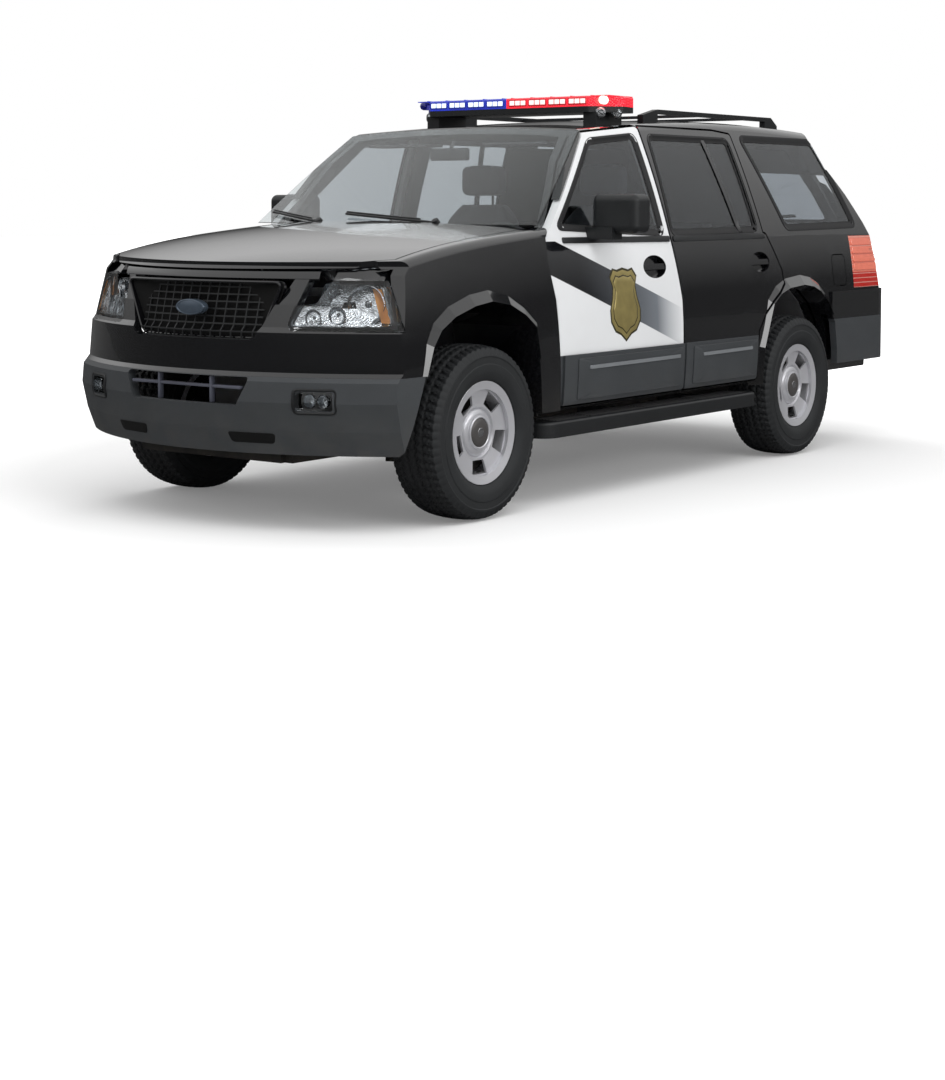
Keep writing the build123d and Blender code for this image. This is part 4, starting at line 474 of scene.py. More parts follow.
class PaintSettings(bpy.types.PropertyGroup):
    body: bpy.props.FloatVectorProperty(name="Body paint", description="Gloss colour of the body panels",
                                        subtype="COLOR", size=3, default=(0.0045, 0.0047, 0.0055))
    door: bpy.props.FloatVectorProperty(name="Door paint", description="Colour of the two front doors",
                                        subtype="COLOR", size=3, default=(0.74, 0.75, 0.76))
    cladding: bpy.props.FloatVectorProperty(name="Cladding", description="Colour of the lower plastics",
                                            subtype="COLOR", size=3, default=(0.040, 0.044, 0.048))
    badge: bpy.props.FloatVectorProperty(name="Door badge", description="Metal colour of the blank shield",
                                         subtype="COLOR", size=3, default=(0.42, 0.34, 0.13))
    rim: bpy.props.FloatVectorProperty(name="Wheel paint", description="Colour of the steel wheels",
                                       subtype="COLOR", size=3, default=(0.62, 0.62, 0.65))
    seat: bpy.props.FloatVectorProperty(name="Seat cloth", description="Colour of the seat covers",
                                        subtype="COLOR", size=3, default=(0.16, 0.16, 0.17))


class TyreSettings(bpy.types.PropertyGroup):
    grooves: bpy.props.FloatProperty(name="Groove depth", description="Depth of the tread grooves",
                                     subtype="DISTANCE", unit="LENGTH", default=0.010)


class StageSettings(bpy.types.PropertyGroup):
    lens: bpy.props.FloatProperty(name="Lens", description="Focal length in millimetres on a 36 mm sensor",
                                  default=66.19)
    camera: bpy.props.FloatVectorProperty(name="Camera", description="Where the camera stands",
                                          subtype="TRANSLATION", unit="LENGTH", size=3,
                                          default=(8.8388, 6.3006, 1.4340))
    heading: bpy.props.FloatProperty(name="Heading", description="Direction to the camera from the front",
                                     subtype="ANGLE", default=0.6388)
    pitch: bpy.props.FloatProperty(name="Pitch", description="Angle by which the camera looks down",
                                   subtype="ANGLE", default=0.0594)
    roll: bpy.props.FloatProperty(name="Roll", description="Turn of the camera about its line of sight",
                                  subtype="ANGLE", default=0.0016)


# Operators -------------------------------------------------------------------


class PAINT_OT_finishes(bpy.types.Operator):
    """Builds the finishes and lays them on the CAD nodes"""

    bl_idname = "police.finishes"
    bl_label = "Finishes"

    # rise per metre and height at x = 0 of the livery band's two edges, and its colours
    BAND_TOP, BAND_FOOT = (0.3293, 0.9275), (0.3375, 0.7355)
    BAND_DARK, BAND_PALE = (0.004, 0.0045, 0.006, 1), (0.24, 0.26, 0.29, 1)
    DOOR_TRIM = (0.05, 0.05, 0.055, 1)
    HANDLES_X, HANDLES_Z, CUP_HALF = (0.150, -0.965), 1.120, (0.1075, 0.0575)

    def execute(self, context):
        build_groups()
        tone = context.scene.police_paint
        Finish("body_black", tone.body, 0.10, Coat_Weight=1.0, Coat_Roughness=0.02).drift(0.2, 2.0).dust(
            0.25, 0.62).grain(0.02, 260.0, 0.0, 0.0003).done()
        self.door_finish("door_white", tone.door, tone.cladding, livery=True)
        self.door_finish("door_black", tone.body, tone.cladding, livery=False)
        Finish("charcoal_plastic", tone.cladding, 0.52).drift(0.18, 5.0).dust(0.35, 0.6).grain(
            0.45, 700.0).done()
        Finish("black_plastic", (0.011, 0.012, 0.013), 0.42).drift(0.2, 6.0).grain(0.35, 800.0).done()
        Finish("gloss_black", (0.004, 0.004, 0.005), 0.12, Coat_Weight=0.6).drift(0.2, 6.0).done()
        Finish("rubber_trim", (0.012, 0.012, 0.013), 0.62).drift(0.25, 9.0).grain(0.25, 1200.0).done()
        Finish("tyre_rubber", (0.014, 0.0155, 0.017), 0.66).drift(0.3, 7.0).grain(0.3, 500.0).done()
        Finish("wheel_paint", tone.rim, 0.34, 0.55, Coat_Weight=0.35).drift(0.08, 5.0).grain(
            0.04, 1500.0).done()
        Finish("wheel_cap", (0.085, 0.08, 0.078), 0.38, 0.35).drift(0.15, 20.0).grain(0.15, 1200.0).done()
        Finish("bright_metal", (0.78, 0.78, 0.80), 0.16, 1.0).drift(0.06, 12.0).done()
        Finish("badge_gold", tone.badge, 0.32, 0.65).drift(0.35, 14.0).grain(0.08, 900.0).done()
        Finish("badge_edge", (0.05, 0.042, 0.018), 0.35, 0.4).drift(0.25, 14.0).done()
        Finish("dark_steel", (0.035, 0.034, 0.033), 0.58, 0.7).drift(0.4, 12.0).dust(0.6, 0.8).grain(
            0.3, 300.0).done()
        Finish("cast_alloy", (0.22, 0.22, 0.225), 0.5, 0.8).drift(0.25, 14.0).grain(0.35, 260.0).done()
        Finish("cabin_plastic", (0.052, 0.053, 0.056), 0.62).drift(0.15, 6.0).grain(0.4, 900.0).done()
        Finish("liner_felt", (0.10, 0.10, 0.105), 0.9).drift(0.2, 8.0).grain(0.5, 500.0).done()
        Finish("amber_lens", (0.85, 0.30, 0.03), 0.12, Transmission_Weight=0.5).drift(0.1, 20.0).done()
        Finish("strip_gray", (0.16, 0.17, 0.18), 0.38).drift(0.1, 12.0).grain(0.15, 900.0).done()
        # near-black of painted shade, laid behind the grille and over the tow-hook openings
        Finish("painted_shade_black", (0.003, 0.003, 0.003), 0.85).drift(0.2, 12.0).done()
        Finish("intake_gray", (0.075, 0.080, 0.105), 0.45).drift(0.15, 12.0).grain(0.2, 900.0).done()
        Finish("bare_badge", (0.10, 0.13, 0.17), 0.28, 0.6, Coat_Weight=0.6).drift(0.12, 30.0).done()
        # the strong blotchy colour drift on this chrome is painted reflection: dark and bright patches such
        # as a mirror finish shows
        Finish("lamp_chrome", (0.50, 0.52, 0.54), 0.12, 1.0).drift(0.9, 45.0).grain(
            0.35, 130.0, 1.0, 0.004).done()
        Finish("tail_blocks", (0.80, 0.20, 0.13), 0.16, Coat_Weight=0.8).drift(0.12, 30.0).grain(
            0.15, 400.0, 1.0, 0.001).done()
        Finish("bar_frame_red", (0.62, 0.02, 0.03), 0.25, Coat_Weight=0.5).drift(0.15, 30.0).done()
        Finish("bar_frame_blue", (0.03, 0.05, 0.42), 0.25, Coat_Weight=0.5).drift(0.15, 30.0).done()
        self.cloth_finish(tone.seat)
        self.glass_finish("side_glass", (0.46, 0.49, 0.52), 0.02)
        self.glass_finish("front_glass", (0.66, 0.70, 0.71), 0.01)
        self.glass_finish("lamp_clear", (0.94, 0.96, 0.97), 0.01)
        self.lens_finish("tail_red", (0.62, 0.020, 0.012), (0.95, 0.26, 0.18))
        self.glow_lens("bar_blue", (0.030, 0.055, 0.55), 0.3)
        self.glow_lens("bar_red", (0.80, 0.030, 0.055), 0.6)
        self.glow_lens("bar_dark_blue", (0.010, 0.010, 0.16), 0.0)
        self.lit_finish("lit_blue", (0.72, 0.82, 1.0), 1.05)
        self.lit_finish("lit_red", (1.0, 0.62, 0.60), 1.1)
        self.lit_finish("lit_warm", (1.0, 0.86, 0.72), 1.5)
        plain = {
            "body_black": ["hood", "fender_left", "fender_right", "body_side_left", "body_side_right",
                           "roof_panel", "front_bumper", "rear_bumper", "liftgate", "fuel_flap"],
            "door_white": ["door_front_left", "door_front_right"],
            "door_black": ["door_rear_left", "door_rear_right"],
            "charcoal_plastic": ["front_valance", "rear_valance"],
            "black_plastic": ["cowl", "mirror_left", "mirror_right", "roof_rack", "running_boards",
                              "light_bar_base", "grille"],
            "side_glass": ["glass_front_left", "glass_front_right", "glass_rear_left", "glass_rear_right",
                           "quarter_glass", "liftgate_glass"],
            "front_glass": ["windshield"],
            "dark_steel": ["chassis_frame", "suspension", "rear_axle", "knuckle_left", "knuckle_right"],
            "cast_alloy": ["engine_block"],
            "liner_felt": ["floor_pan"],
            "cabin_plastic": ["dashboard", "steering_wheel", "seat_bases"],
            "wheel_paint": ["rim_front_left", "rim_front_right", "rim_rear_left", "rim_rear_right"],
            "tyre_rubber": ["tyre_front_left", "tyre_front_right", "tyre_rear_left", "tyre_rear_right"],
            "tail_red": ["tail_lamps"],
            "lamp_clear": ["headlamps", "fog_lamps"],
            "seat_cloth": ["front_seats", "rear_seat"],
            "bar_blue": ["light_bar_blue"],
            "bar_red": ["light_bar_red"],
        }
        for finish, names in plain.items():
            for name in names:
                shade_node(name, finish)
        return {"FINISHED"}

    def door_finish(self, name, paint, cladding, livery):
        """Gloss paint above, grained cladding below, and a black oval at each handle: the handle's own dark
        plastic with painted shade in its recessed cup.
        """
        f = Finish(name, paint, 0.14, Coat_Weight=1.0, Coat_Roughness=0.02)
        w = f.w
        parts = w.put("ShaderNodeSeparateXYZ", {0: f.place})
        x, y, z = parts.outputs["X"], w.maths("ABSOLUTE", parts.outputs["Y"]), parts.outputs["Z"]
        if livery:
            # a dark band that runs down and back across the door, and fades towards its rear edge
            above, below = (w.maths("SUBTRACT", z, w.maths("MULTIPLY_ADD", x, slope, height))
                            for slope, height in (self.BAND_TOP, self.BAND_FOOT))
            inside = w.maths("MULTIPLY", w.ramp(above, 0.0015, -0.0015), w.ramp(below, -0.0015, 0.0015))
            inside = w.maths("MULTIPLY", inside, w.ramp(z, 1.2615, 1.2600))
            inside = w.maths("MULTIPLY", inside, w.ramp(x, -0.09, 0.16))
            fade = w.maths("POWER", w.ramp(x, 0.86, -0.02), 1.6)
            f.colour = w.mix(inside, f.colour, w.mix(fade, self.BAND_DARK, self.BAND_PALE))
        trim = w.maths("MULTIPLY", w.ramp(y, 0.905, 0.900), w.ramp(z, 1.256, 1.254))
        f.colour = w.mix(trim, f.colour, self.DOOR_TRIM)
        f.drift(0.06, 3.0)
        # black ovals at the handles: the handles' dark plastic, and painted shade inside their recessed cups
        handle_and_cup_shade = 0.0
        for handle_x in self.HANDLES_X:
            away = [w.maths("DIVIDE", w.maths("SUBTRACT", place, middle), half) for place, middle, half in
                    ((x, handle_x, self.CUP_HALF[0]), (z, self.HANDLES_Z, self.CUP_HALF[1]))]
            squares = [w.maths("MULTIPLY", a, a) for a in away]
            reach = w.maths("SQRT", w.maths("ADD", *squares))
            handle_and_cup_shade = w.maths("MAXIMUM", handle_and_cup_shade, w.ramp(reach, 1.03, 1.01))
        f.colour = w.mix(handle_and_cup_shade, f.colour, (0.004, 0.004, 0.005, 1))
        clad = w.ramp(z, 0.7158, 0.7150)
        f.colour = w.mix(clad, f.colour, tuple(cladding) + (1.0,))
        dull = w.maths("MAXIMUM", clad, trim)
        f.roughness = w.maths("MULTIPLY_ADD", dull, 0.40, 0.12)
        f.dust(0.25, 0.62)
        grain = f.group("moulded_grain", {"Vector": f.place, "Scale": 700.0, "Pits": 0.5})
        f.bump(w.maths("MULTIPLY", grain.outputs["Height"], clad), 0.45, 0.0006)
        gloss = w.maths("SUBTRACT", 1.0, dull, clamp=True)
        f.tree.links.new(gloss, f.shader.inputs["Coat Weight"])
        f.done()

    def cloth_finish(self, colour):
        f = Finish("seat_cloth", colour, 0.88, Sheen_Weight=0.35)
        weave = f.group("woven_cloth", {"Vector": f.place, "Threads": 1500.0})
        f.drift(0.18, 9.0)
        f.colour = f.w.scaled(f.colour, weave.outputs["Shade"])
        f.bump(weave.outputs["Height"], 0.35, 0.0006)
        f.done()

    def glass_finish(self, name, colour, roughness):
        f = Finish(name, colour, roughness, Transmission_Weight=1.0, IOR=1.45)
        f.drift(0.04, 1.5)
        f.done()

    def lens_finish(self, name, low_colour, high_colour):
        """Ribbed lamp lens, pale above and deep below."""
        f = Finish(name, low_colour, 0.12, Transmission_Weight=0.25, Coat_Weight=0.7)
        z = f.w.put("ShaderNodeSeparateXYZ", {0: f.place}).outputs["Z"]
        upper = f.w.ramp(z, 1.032, 1.034)
        f.colour = f.w.mix(upper, f.colour, tuple(high_colour) + (1.0,))
        ribs = f.w.maths("SINE", f.w.maths("MULTIPLY", z, 2 * math.pi / 0.0275))
        lines = f.w.ramp(ribs, 0.72, 0.95)
        f.colour = f.w.mix(f.w.maths("MULTIPLY", lines, 0.55), f.colour, (0.98, 0.62, 0.52, 1))
        f.drift(0.12, 12.0)
        prisms = f.group("lens_prisms", {"Vector": f.place, "Pitch": 900.0})
        f.bump(prisms.outputs["Height"], 0.25, 0.0012)
        f.done()

    def glow_lens(self, name, colour, strength):
        """Coloured light-bar lens with moulded prisms."""
        f = Finish(name, colour, 0.08, Transmission_Weight=0.55, Coat_Weight=0.6)
        f.drift(0.2, 14.0)
        prisms = f.group("lens_prisms", {"Vector": f.place, "Pitch": 420.0})
        f.bump(prisms.outputs["Height"], 0.3, 0.0018)
        if strength:
            f.shine(colour, prisms.outputs["Height"], 0.5, 1.5, strength)
        f.done()

    def lit_finish(self, name, colour, strength):
        """A lit lamp module behind a lens."""
        f = Finish(name, colour, 0.3)
        prisms = f.group("lens_prisms", {"Vector": f.place, "Pitch": 700.0})
        f.shine(colour, prisms.outputs["Height"], 0.75, 1.2, strength)
        f.drift(0.1, 20.0)
        f.done()


class TYRES_OT_make(bpy.types.Operator):
    """Makes the four ribbed road tyres"""

    bl_idname = "police.tyres"
    bl_label = "Tyres"

    STEPS = 384  # points round the tyre
    CROWN_ROWS = 28
    SHOULDER = 0.031  # from the side of the tyre to the edge of its crown
    GROOVES = (-0.62, -0.22, 0.22, 0.62)  # shares of the crown's half width

    def execute(self, context):
        depth = context.scene.police_tyres.grooves
        for place, _ in WHEELS:
            low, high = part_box(f"tyre_{place}")
            rings = self.rings((low + high) / 2, (high.x - low.x) / 2, (high.y - low.y) / 2, depth)
            tyre = Form().rings(rings).make(f"road_tyre_{place}", "tyre_rubber", f"wheel_{place}",
                                            "tyre_rubber", 28.0)
            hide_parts(f"tyre_{place}")
        return {"FINISHED"}

    def rings(self, centre, radius, half, depth):
        """Point rings from the inner bead over the tread to the outer bead, and back to the first."""
        edge = half - self.SHOULDER
        wall = [(0.2165, -0.098), (0.236, -0.106), (0.243, -0.118), (0.262, -half + 0.005), (0.285, -half),
                (0.312, -half), (0.316, -half + 0.003), (0.345, -half + 0.003), (0.3495, -half),
                (0.356, -half + 0.001), (0.374, -half + 0.009), (0.388, -half + 0.017)]
        profile = [(r, y, False) for r, y in wall]
        for k in range(self.CROWN_ROWS + 1):
            y = edge * (2 * k / self.CROWN_ROWS - 1)
            profile.append((radius - 0.0085 * (abs(y) / edge) ** 2.4, y, True))
        profile += [(r, -y, False) for r, y in reversed(wall)]
        result = []
        for r, y, on_tread in profile:
            ring = []
            for k in range(self.STEPS):
                turn = 2 * math.pi * k / self.STEPS
                reach = r - depth * (self.cut(k, y / edge) if on_tread else 0.5 * (r > 0.37 and k % 6 < 2))
                ring.append(centre + Vector((reach * math.cos(turn), y, reach * math.sin(turn))))
            result.append(ring)
        return result + [result[0]]

    def cut(self, k, share):
        """The share of the groove depth at one step round the tyre and one share of its crown."""
        wave = 0.030 if (k // 3) % 2 else -0.030
        if any(abs(share - groove - wave) < 0.055 for groove in self.GROOVES):
            return 1.0
        if abs(share) > 0.70 and (k + int(abs(share) * 6)) % 6 < 2:
            return 0.8
        return 0.45 if (k + int(share * 22)) % 6 == 0 else 0.0


class WHEEL_OT_make(bpy.types.Operator):
    """Makes the caps, hub rings, brake discs and valve stems of the wheels"""

    bl_idname = "police.wheel_trim"
    bl_label = "Wheel trim"

    # turned profiles: radius, and place along the axle from the middle of the wheel
    CAP = [(0.0, 0.094), (0.040, 0.0935), (0.058, 0.091), (0.066, 0.086), (0.067, 0.070)]
    BUTTON = [(0.0, 0.0945), (0.019, 0.0952), (0.021, 0.0945), (0.022, 0.0930)]
    HUB = [(0.0665, 0.070), (0.0672, 0.0885), (0.071, 0.0905), (0.076, 0.0885), (0.079, 0.080),
           (0.098, 0.078), (0.106, 0.072), (0.110, 0.062)]
    RIM_LIP = [(0.226, 0.1105), (0.2335, 0.1135), (0.2365, 0.1125), (0.2365, 0.108)]
    DISC = [(0.060, 0.020), (0.188, 0.020), (0.188, -0.004), (0.060, -0.004)]

    def execute(self, context):
        for place, sign in WHEELS:
            low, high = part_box(f"tyre_{place}")
            c, out, body = (low + high) / 2, (0, sign, 0), f"wheel_{place}"
            Form().turn(self.CAP, c, out, 64).make(f"hub_cap_{place}", "wheel_cap", body, "plastic_charcoal")
            Form().turn(self.HUB, c, out, 72).turn(self.RIM_LIP, c, out, 96).make(
                f"hub_ring_{place}", "wheel_paint", body, "rim_silver")
            Form().turn(self.BUTTON, c, out, 40).make(f"cap_disc_{place}", "bright_metal", body, "rim_silver")
            row, side = place.split("_")
            carrier = body if row == "rear" else f"knuckle_{side}"
            disc = Form().turn(self.DISC, c, out, 72)
            disc.block(c + Vector((-0.19, -0.03, -0.06)), c + Vector((-0.11, 0.03, 0.06)), 0.01)
            disc.make(f"brake_disc_{place}", "dark_steel", carrier, "steel_dark")
            Form().pipe([c + Vector((0, sign * 0.070, -0.182)), c + Vector((0, sign * 0.094, -0.176))],
                        0.0045, 10).make(f"valve_stem_{place}", "rubber_trim", body, "plastic_black")
        return {"FINISHED"}


class TRIM_OT_sides(bpy.types.Operator):
    """Lays the window seals and bars, mouldings, cladding panels and blank shields on the sides"""

    bl_idname = "police.side_trim"
    bl_label = "Side trim"

    # along and height of corners, seen from the side
    WINDOW_BAR = ((-0.632, 1.80), (-0.774, 1.285), (-0.812, 1.285), (-0.668, 1.80))
    # each door's belt moulding, and the ends of its cladding panel and of the pale strip on it
    MOULDINGS = (("front", ((0.952, 1.250), (0.952, 1.279), (-0.030, 1.276), (-0.030, 1.245)),
                  (0.905, -0.072), (0.815, -0.035)),
                 ("rear", ((-0.070, 1.246), (-0.070, 1.276), (-1.050, 1.280), (-1.058, 1.250)),
                  (-0.180, -0.865), (-0.270, -0.800)))
    SHIELD_CENTRE = Vector((0.462, 0.944))
    # the right half of the shield about its centre, from the top to the foot
    SHIELD = [(0.0, 0.168), (0.05, 0.158), (0.085, 0.166), (0.118, 0.128), (0.098, 0.082), (0.108, 0.03),
              (0.132, -0.03), (0.128, -0.085), (0.092, -0.13), (0.045, -0.146), (0.0, -0.178)]
    # name, scale, height over the door and finish of each layer
    SHIELD_LAYERS = (("edge", 1.07, 0.0010, "badge_edge"), ("plate", 1.0, 0.0018, "badge_gold"),
                     ("line", 0.86, 0.0024, "badge_edge"), ("field", 0.82, 0.0030, "badge_gold"))

    def execute(self, context):
        for side, _ in SIDES:
            front, rear = f"door_front_{side}", f"door_rear_{side}"
            for label, window, nodes, body, width in (
                    ("front_door", FRONT_WINDOW, [front, f"glass_front_{side}"], front, 0.011),
                    ("rear_door", REAR_WINDOW, [rear, f"glass_rear_{side}"], rear, 0.011),
                    ("quarter", QUARTER_WINDOW, [f"body_side_{side}", "quarter_glass"], "body", 0.016)):
                band(Form(), Skin(nodes, side), outline(window, 0.045), -0.024, width, 0.0035, 0.012).make(
                    f"{label}_seal_{side}", "rubber_trim", body, "plastic_black")
            plate(Form(), Skin([rear, f"glass_rear_{side}"], side), spaced(self.WINDOW_BAR, 0.03), 0.005,
                  0.008).make(f"window_bar_{side}", "gloss_black", rear, "plastic_black")
            self.mouldings(side)
            self.shield(side, front)
        return {"FINISHED"}

    def mouldings(self, side):
        """Belt mouldings, and cladding panels with a pale strip, on both doors of a side."""
        for row, belt, (fore, aft), (strip_fore, strip_aft) in self.MOULDINGS:
            door = f"door_{row}_{side}"
            skin = Skin([door], side)
            panel = ((fore, 0.495), (fore, 0.696), (aft, 0.696), (aft, 0.495))
            strip = ((strip_fore, 0.640), (strip_fore, 0.658), (strip_aft, 0.662), (strip_aft, 0.644))
            for name, corners, radius, proud, root, finish in (
                    ("belt_moulding", belt, 0.012, 0.007, 0.003, "black_plastic"),
                    ("cladding_panel", panel, 0.012, 0.007, 0.003, "charcoal_plastic"),
                    ("cladding_strip", strip, 0.008, 0.0125, 0.0, "strip_gray")):
                plate(Form(), skin, outline(corners, radius, 0.03), proud, root, 3).make(
                    f"{row}_{name}_{side}", finish, door, "plastic_charcoal")

    def shield(self, side, door):
        """A blank shield in four layers."""
        skin = Skin([door], side)
        whole = [(-x, z) for x, z in self.SHIELD[:-1]] + [(x, z) for x, z in reversed(self.SHIELD[1:])]
        for name, scale, proud, finish in self.SHIELD_LAYERS:
            line = spaced([self.SHIELD_CENTRE + Vector(p) * scale for p in whole], 0.012)
            plate(Form(), skin, line, proud, 0.001, 6).make(f"shield_{name}_{side}", finish, door,
                                                            "paint_white")


class TRIM_OT_front(bpy.types.Operator):
    """Makes the nose panel, headlamps, grille lip, blank oval, intake bars, fog lamps and wipers"""

    bl_idname = "police.front_trim"
    bl_label = "Front trim"

    NOSE_FOOT, NOSE_TOP = 0.835, 1.163  # heights of the bumper's top and of the hood's lip
    RAIL_LOW, RAIL_HIGH, RAIL_HALF = 1.106, 1.146, 0.60  # the painted rail over the grille
    # across and height of corners, seen from the front
    LAMP = ((0.505, 0.904), (0.912, 0.904), (0.864, 1.066), (0.840, 1.090), (0.578, 1.094))
    GRILLE = ((-0.366, 0.846), (0.366, 0.846), (0.487, 1.103), (-0.487, 1.103))
    FOG = ((0.588, 0.542), (0.750, 0.542), (0.750, 0.636), (0.588, 0.636))
    HOOK = ((0.265, 0.398), (0.470, 0.398), (0.484, 0.444), (0.252, 0.444))
    # across, height, radius and depth of each reflector bowl, and its profile as shares of the last two
    BOWLS = ((0.795, 1.000, 0.088, 0.050), (0.690, 0.955, 0.040, 0.030), (0.595, 0.942, 0.038, 0.030),
             (0.655, 1.055, 0.030, 0.024))
    BOWL_PROFILE = ((0.80, 0.35), (0.60, 0.65), (0.34, 0.9), (0.2, 1.0), (0.2, 0.35), (0.14, 0.25),
                    (0.0, 0.22))
    WIPERS = (("left", (0.40, 1.345), (-0.20, 1.385)), ("right", (-0.34, 1.345), (-0.80, 1.392)))

    def execute(self, context):
        self.nose()
        self.lamps()
        self.grille()
        self.valance()
        self.wipers()
        return {"FINISHED"}

    def nose(self):
        """The painted panel round the grille, between the hood's lip, the lamps and the bumper."""
        hood, bumper, lamp = (Skin([name], "front") for name in ("hood", "front_bumper", "headlamps"))

        def point(y, z, inset=0.0):
            top, foot = hood.at(y, self.NOSE_TOP, 0.0, 2.40).x, bumper.at(y, self.NOSE_FOOT, 0.0, 2.50).x
            share = (z - self.NOSE_FOOT) / (self.NOSE_TOP - self.NOSE_FOOT)
            return Vector((foot + (top - foot) * share - inset, y, z))

        low, high = self.RAIL_LOW, self.RAIL_HIGH
        edges = ((low, 0.030), (low, 0.006), (low + 0.006, 0.001), (high - 0.006, 0.001), (high, 0.006),
                 (high, 0.040))
        form = Form().rings([[point(self.RAIL_HALF * (k / 30 - 1), z, inset) for k in range(61)]
                             for z, inset in edges], closed=False)
        for sign in (1, -1):
            brow, cheek = [], []
            for k in range(19):
                y = sign * (0.585 + 0.290 * k / 18)
                lips = (hood.at(y, 1.152 + 0.004 * j, 0.0, -1.0) for j in range(30))
                lip = next((p for p in lips if p.x > 1.0), lamp.at(y, 1.09, 0.0, 2.30))
                foot = lamp.at(y, 1.085, 0.0, 2.30).x - 0.012
                brow.append([Vector((foot - 0.03, y, low - 0.002)), Vector((foot, y, low)),
                             Vector(((foot + lip.x) / 2 - 0.006, y, (low + lip.z) / 2 - 0.006)),
                             Vector((lip.x - 0.012, y, lip.z - 0.010)),
                             Vector((lip.x - 0.050, y, lip.z - 0.008))])
            for k in range(15):
                z, inner, outer = 0.862 + 0.248 * k / 14, 0.378 + 0.115 * k / 14, 0.494 + 0.068 * k / 14
                cheek.append([point(sign * y, z, inset) for y, inset in (
                    (inner, 0.040), (inner + 0.003, 0.003), ((inner + outer) / 2, 0.0),
                    (outer - 0.003, 0.003), (outer, 0.040))])
            form.rings(brow, closed=False).rings(cheek, closed=False)
        form.make("nose_panel", "body_black", "body", "paint_black")

    def lamps(self):
        """Backs, reflector bowls and amber markers behind the clear lenses."""
        lens = Skin(["headlamps"], "front")
        line = outline(self.LAMP, 0.02)
        middle = sum(line, Vector((0, 0))) / len(line)
        for side, sign in SIDES:
            def point(y, z, depth):
                return lens.at(y * sign, z, 0.0, 2.30) - Vector((depth, 0, 0))

            Form().rings([[point(*(middle + (p - middle) * share), depth) for p in line] for share, depth in (
                (0.97, 0.010), (0.96, 0.040), (0.72, 0.052), (0.42, 0.060), (0.15, 0.064))]).make(
                f"lamp_back_{side}", "lamp_chrome", "body", "rim_silver")
            bowls = Form()
            for y, z, r, deep in self.BOWLS:
                profile = [(r, 0.004), (r * 0.97, 0.007), (r * 0.93, 0.002)]
                profile += [(r * wide, -deep * back) for wide, back in self.BOWL_PROFILE]
                bowls.turn(profile, point(y, z, 0.038), (1, 0.25 * sign, 0), 40)
            bowls.make(f"lamp_bowls_{side}", "lamp_chrome", "body", "rim_silver", 25)
            marker = []
            for k in range(9):
                z, rib = 0.925 + 0.145 * k / 8, k % 2
                y = 0.908 - 0.37 * (z - 0.925)
                marker.append([point(y + 0.0035 * rib, z, 0.006), point(y - 0.015, z, 0.004 + 0.004 * rib),
                               point(y - 0.033, z, 0.010)])
            Form().rings(marker, closed=False).make(f"lamp_amber_{side}", "amber_lens", "body", "rim_silver")

    def grille(self):
        """The lip round the grille, the bare oval on it and the dark panel behind it."""
        line = outline(self.GRILLE, 0.055, 0.03, 6)
        Form().rings([[Vector((2.508 + push - 0.28 * p.x ** 2, p.x, p.y)) for p in widened(line, grow)]
                      for grow, push in ((0.000, -0.030), (0.000, 0.004), (-0.006, 0.008), (-0.012, 0.004),
                                         (-0.014, -0.030))]).make(
            "grille_lip", "gloss_black", "body", "plastic_black")
        middle, wide, tall = Vector((2.529, 0.0, 0.980)), 0.088, 0.036
        turns = [2 * math.pi * k / 48 for k in range(48)]
        Form().rings([[middle + Vector((push, wide * scale * math.cos(t), tall * scale * math.sin(t)))
                       for t in turns] for scale, push in (
            (1.0, -0.020), (1.0, 0.004), (0.96, 0.010), (0.88, 0.011), (0.84, 0.008), (0.6, 0.010),
            (0.3, 0.012), (0.02, 0.0125))]).make("bare_oval", "bare_badge", "body", "rim_silver")
        Form().rings([[Vector((2.44, p.x * 1.02, p.y)) for p in line],
                      [Vector((2.44, 0.0, 0.97)) for p in line]]).make(
            "grille_shadow_panel", "painted_shade_black", "body", "plastic_black")

    def valance(self):
        """The intake bars, fog lamp surrounds and bowls, and black plates of painted shade over the tow-hook
        openings.
        """
        bars = Form().block((2.545, -0.335, 0.632), (2.570, 0.335, 0.646), 0.004)
        for y in (-0.160, 0.160):
            bars.block((2.548, y - 0.007, 0.566), (2.574, y + 0.007, 0.684), 0.004)
        bars.make("intake_bars", "intake_gray", "body", "plastic_charcoal")
        skin = Skin(["front_valance"], "front")
        for side, sign in SIDES:
            opening = outline([(sign * y, z) for y, z in self.FOG], 0.016)
            around = widened(opening, 0.012)
            rings = []
            for grow, lift in ((0.010, -0.004), (0.010, 0.003), (0.004, 0.006), (-0.002, 0.003),
                               (-0.004, -0.030)):
                moved = widened(opening, grow)
                # inside the opening, the depth is that of the valance just outside it
                rests = moved if grow > 0.006 else around
                rings.append([Vector((skin.at(*rest, 0.0, 2.48).x + lift, p.x, p.y))
                              for p, rest in zip(moved, rests)])
            Form().rings(rings).make(f"fog_surround_{side}", "black_plastic", "body", "plastic_black")
            bowl = Form()
            for y in (0.625, 0.700):
                bowl.turn([(0.030, 0.028), (0.028, 0.010), (0.020, -0.006), (0.008, -0.014), (0.007, 0.004),
                           (0.0, 0.006)], (2.415, sign * y, 0.589), (1, 0, 0), 32)
            bowl.make(f"fog_bowls_{side}", "lamp_chrome", "body", "rim_silver", 25)
            # each tow-hook opening is a flat black plate laid on the valance: painted shade in place of the
            # hole
            hook = outline([(sign * y, z) for y, z in self.HOOK], 0.016)
            plate(Form(), skin, hook, 0.003, 0.01, 4).make(f"tow_hook_opening_shade_{side}", "painted_shade_black", "body",
                                                           "plastic_black")

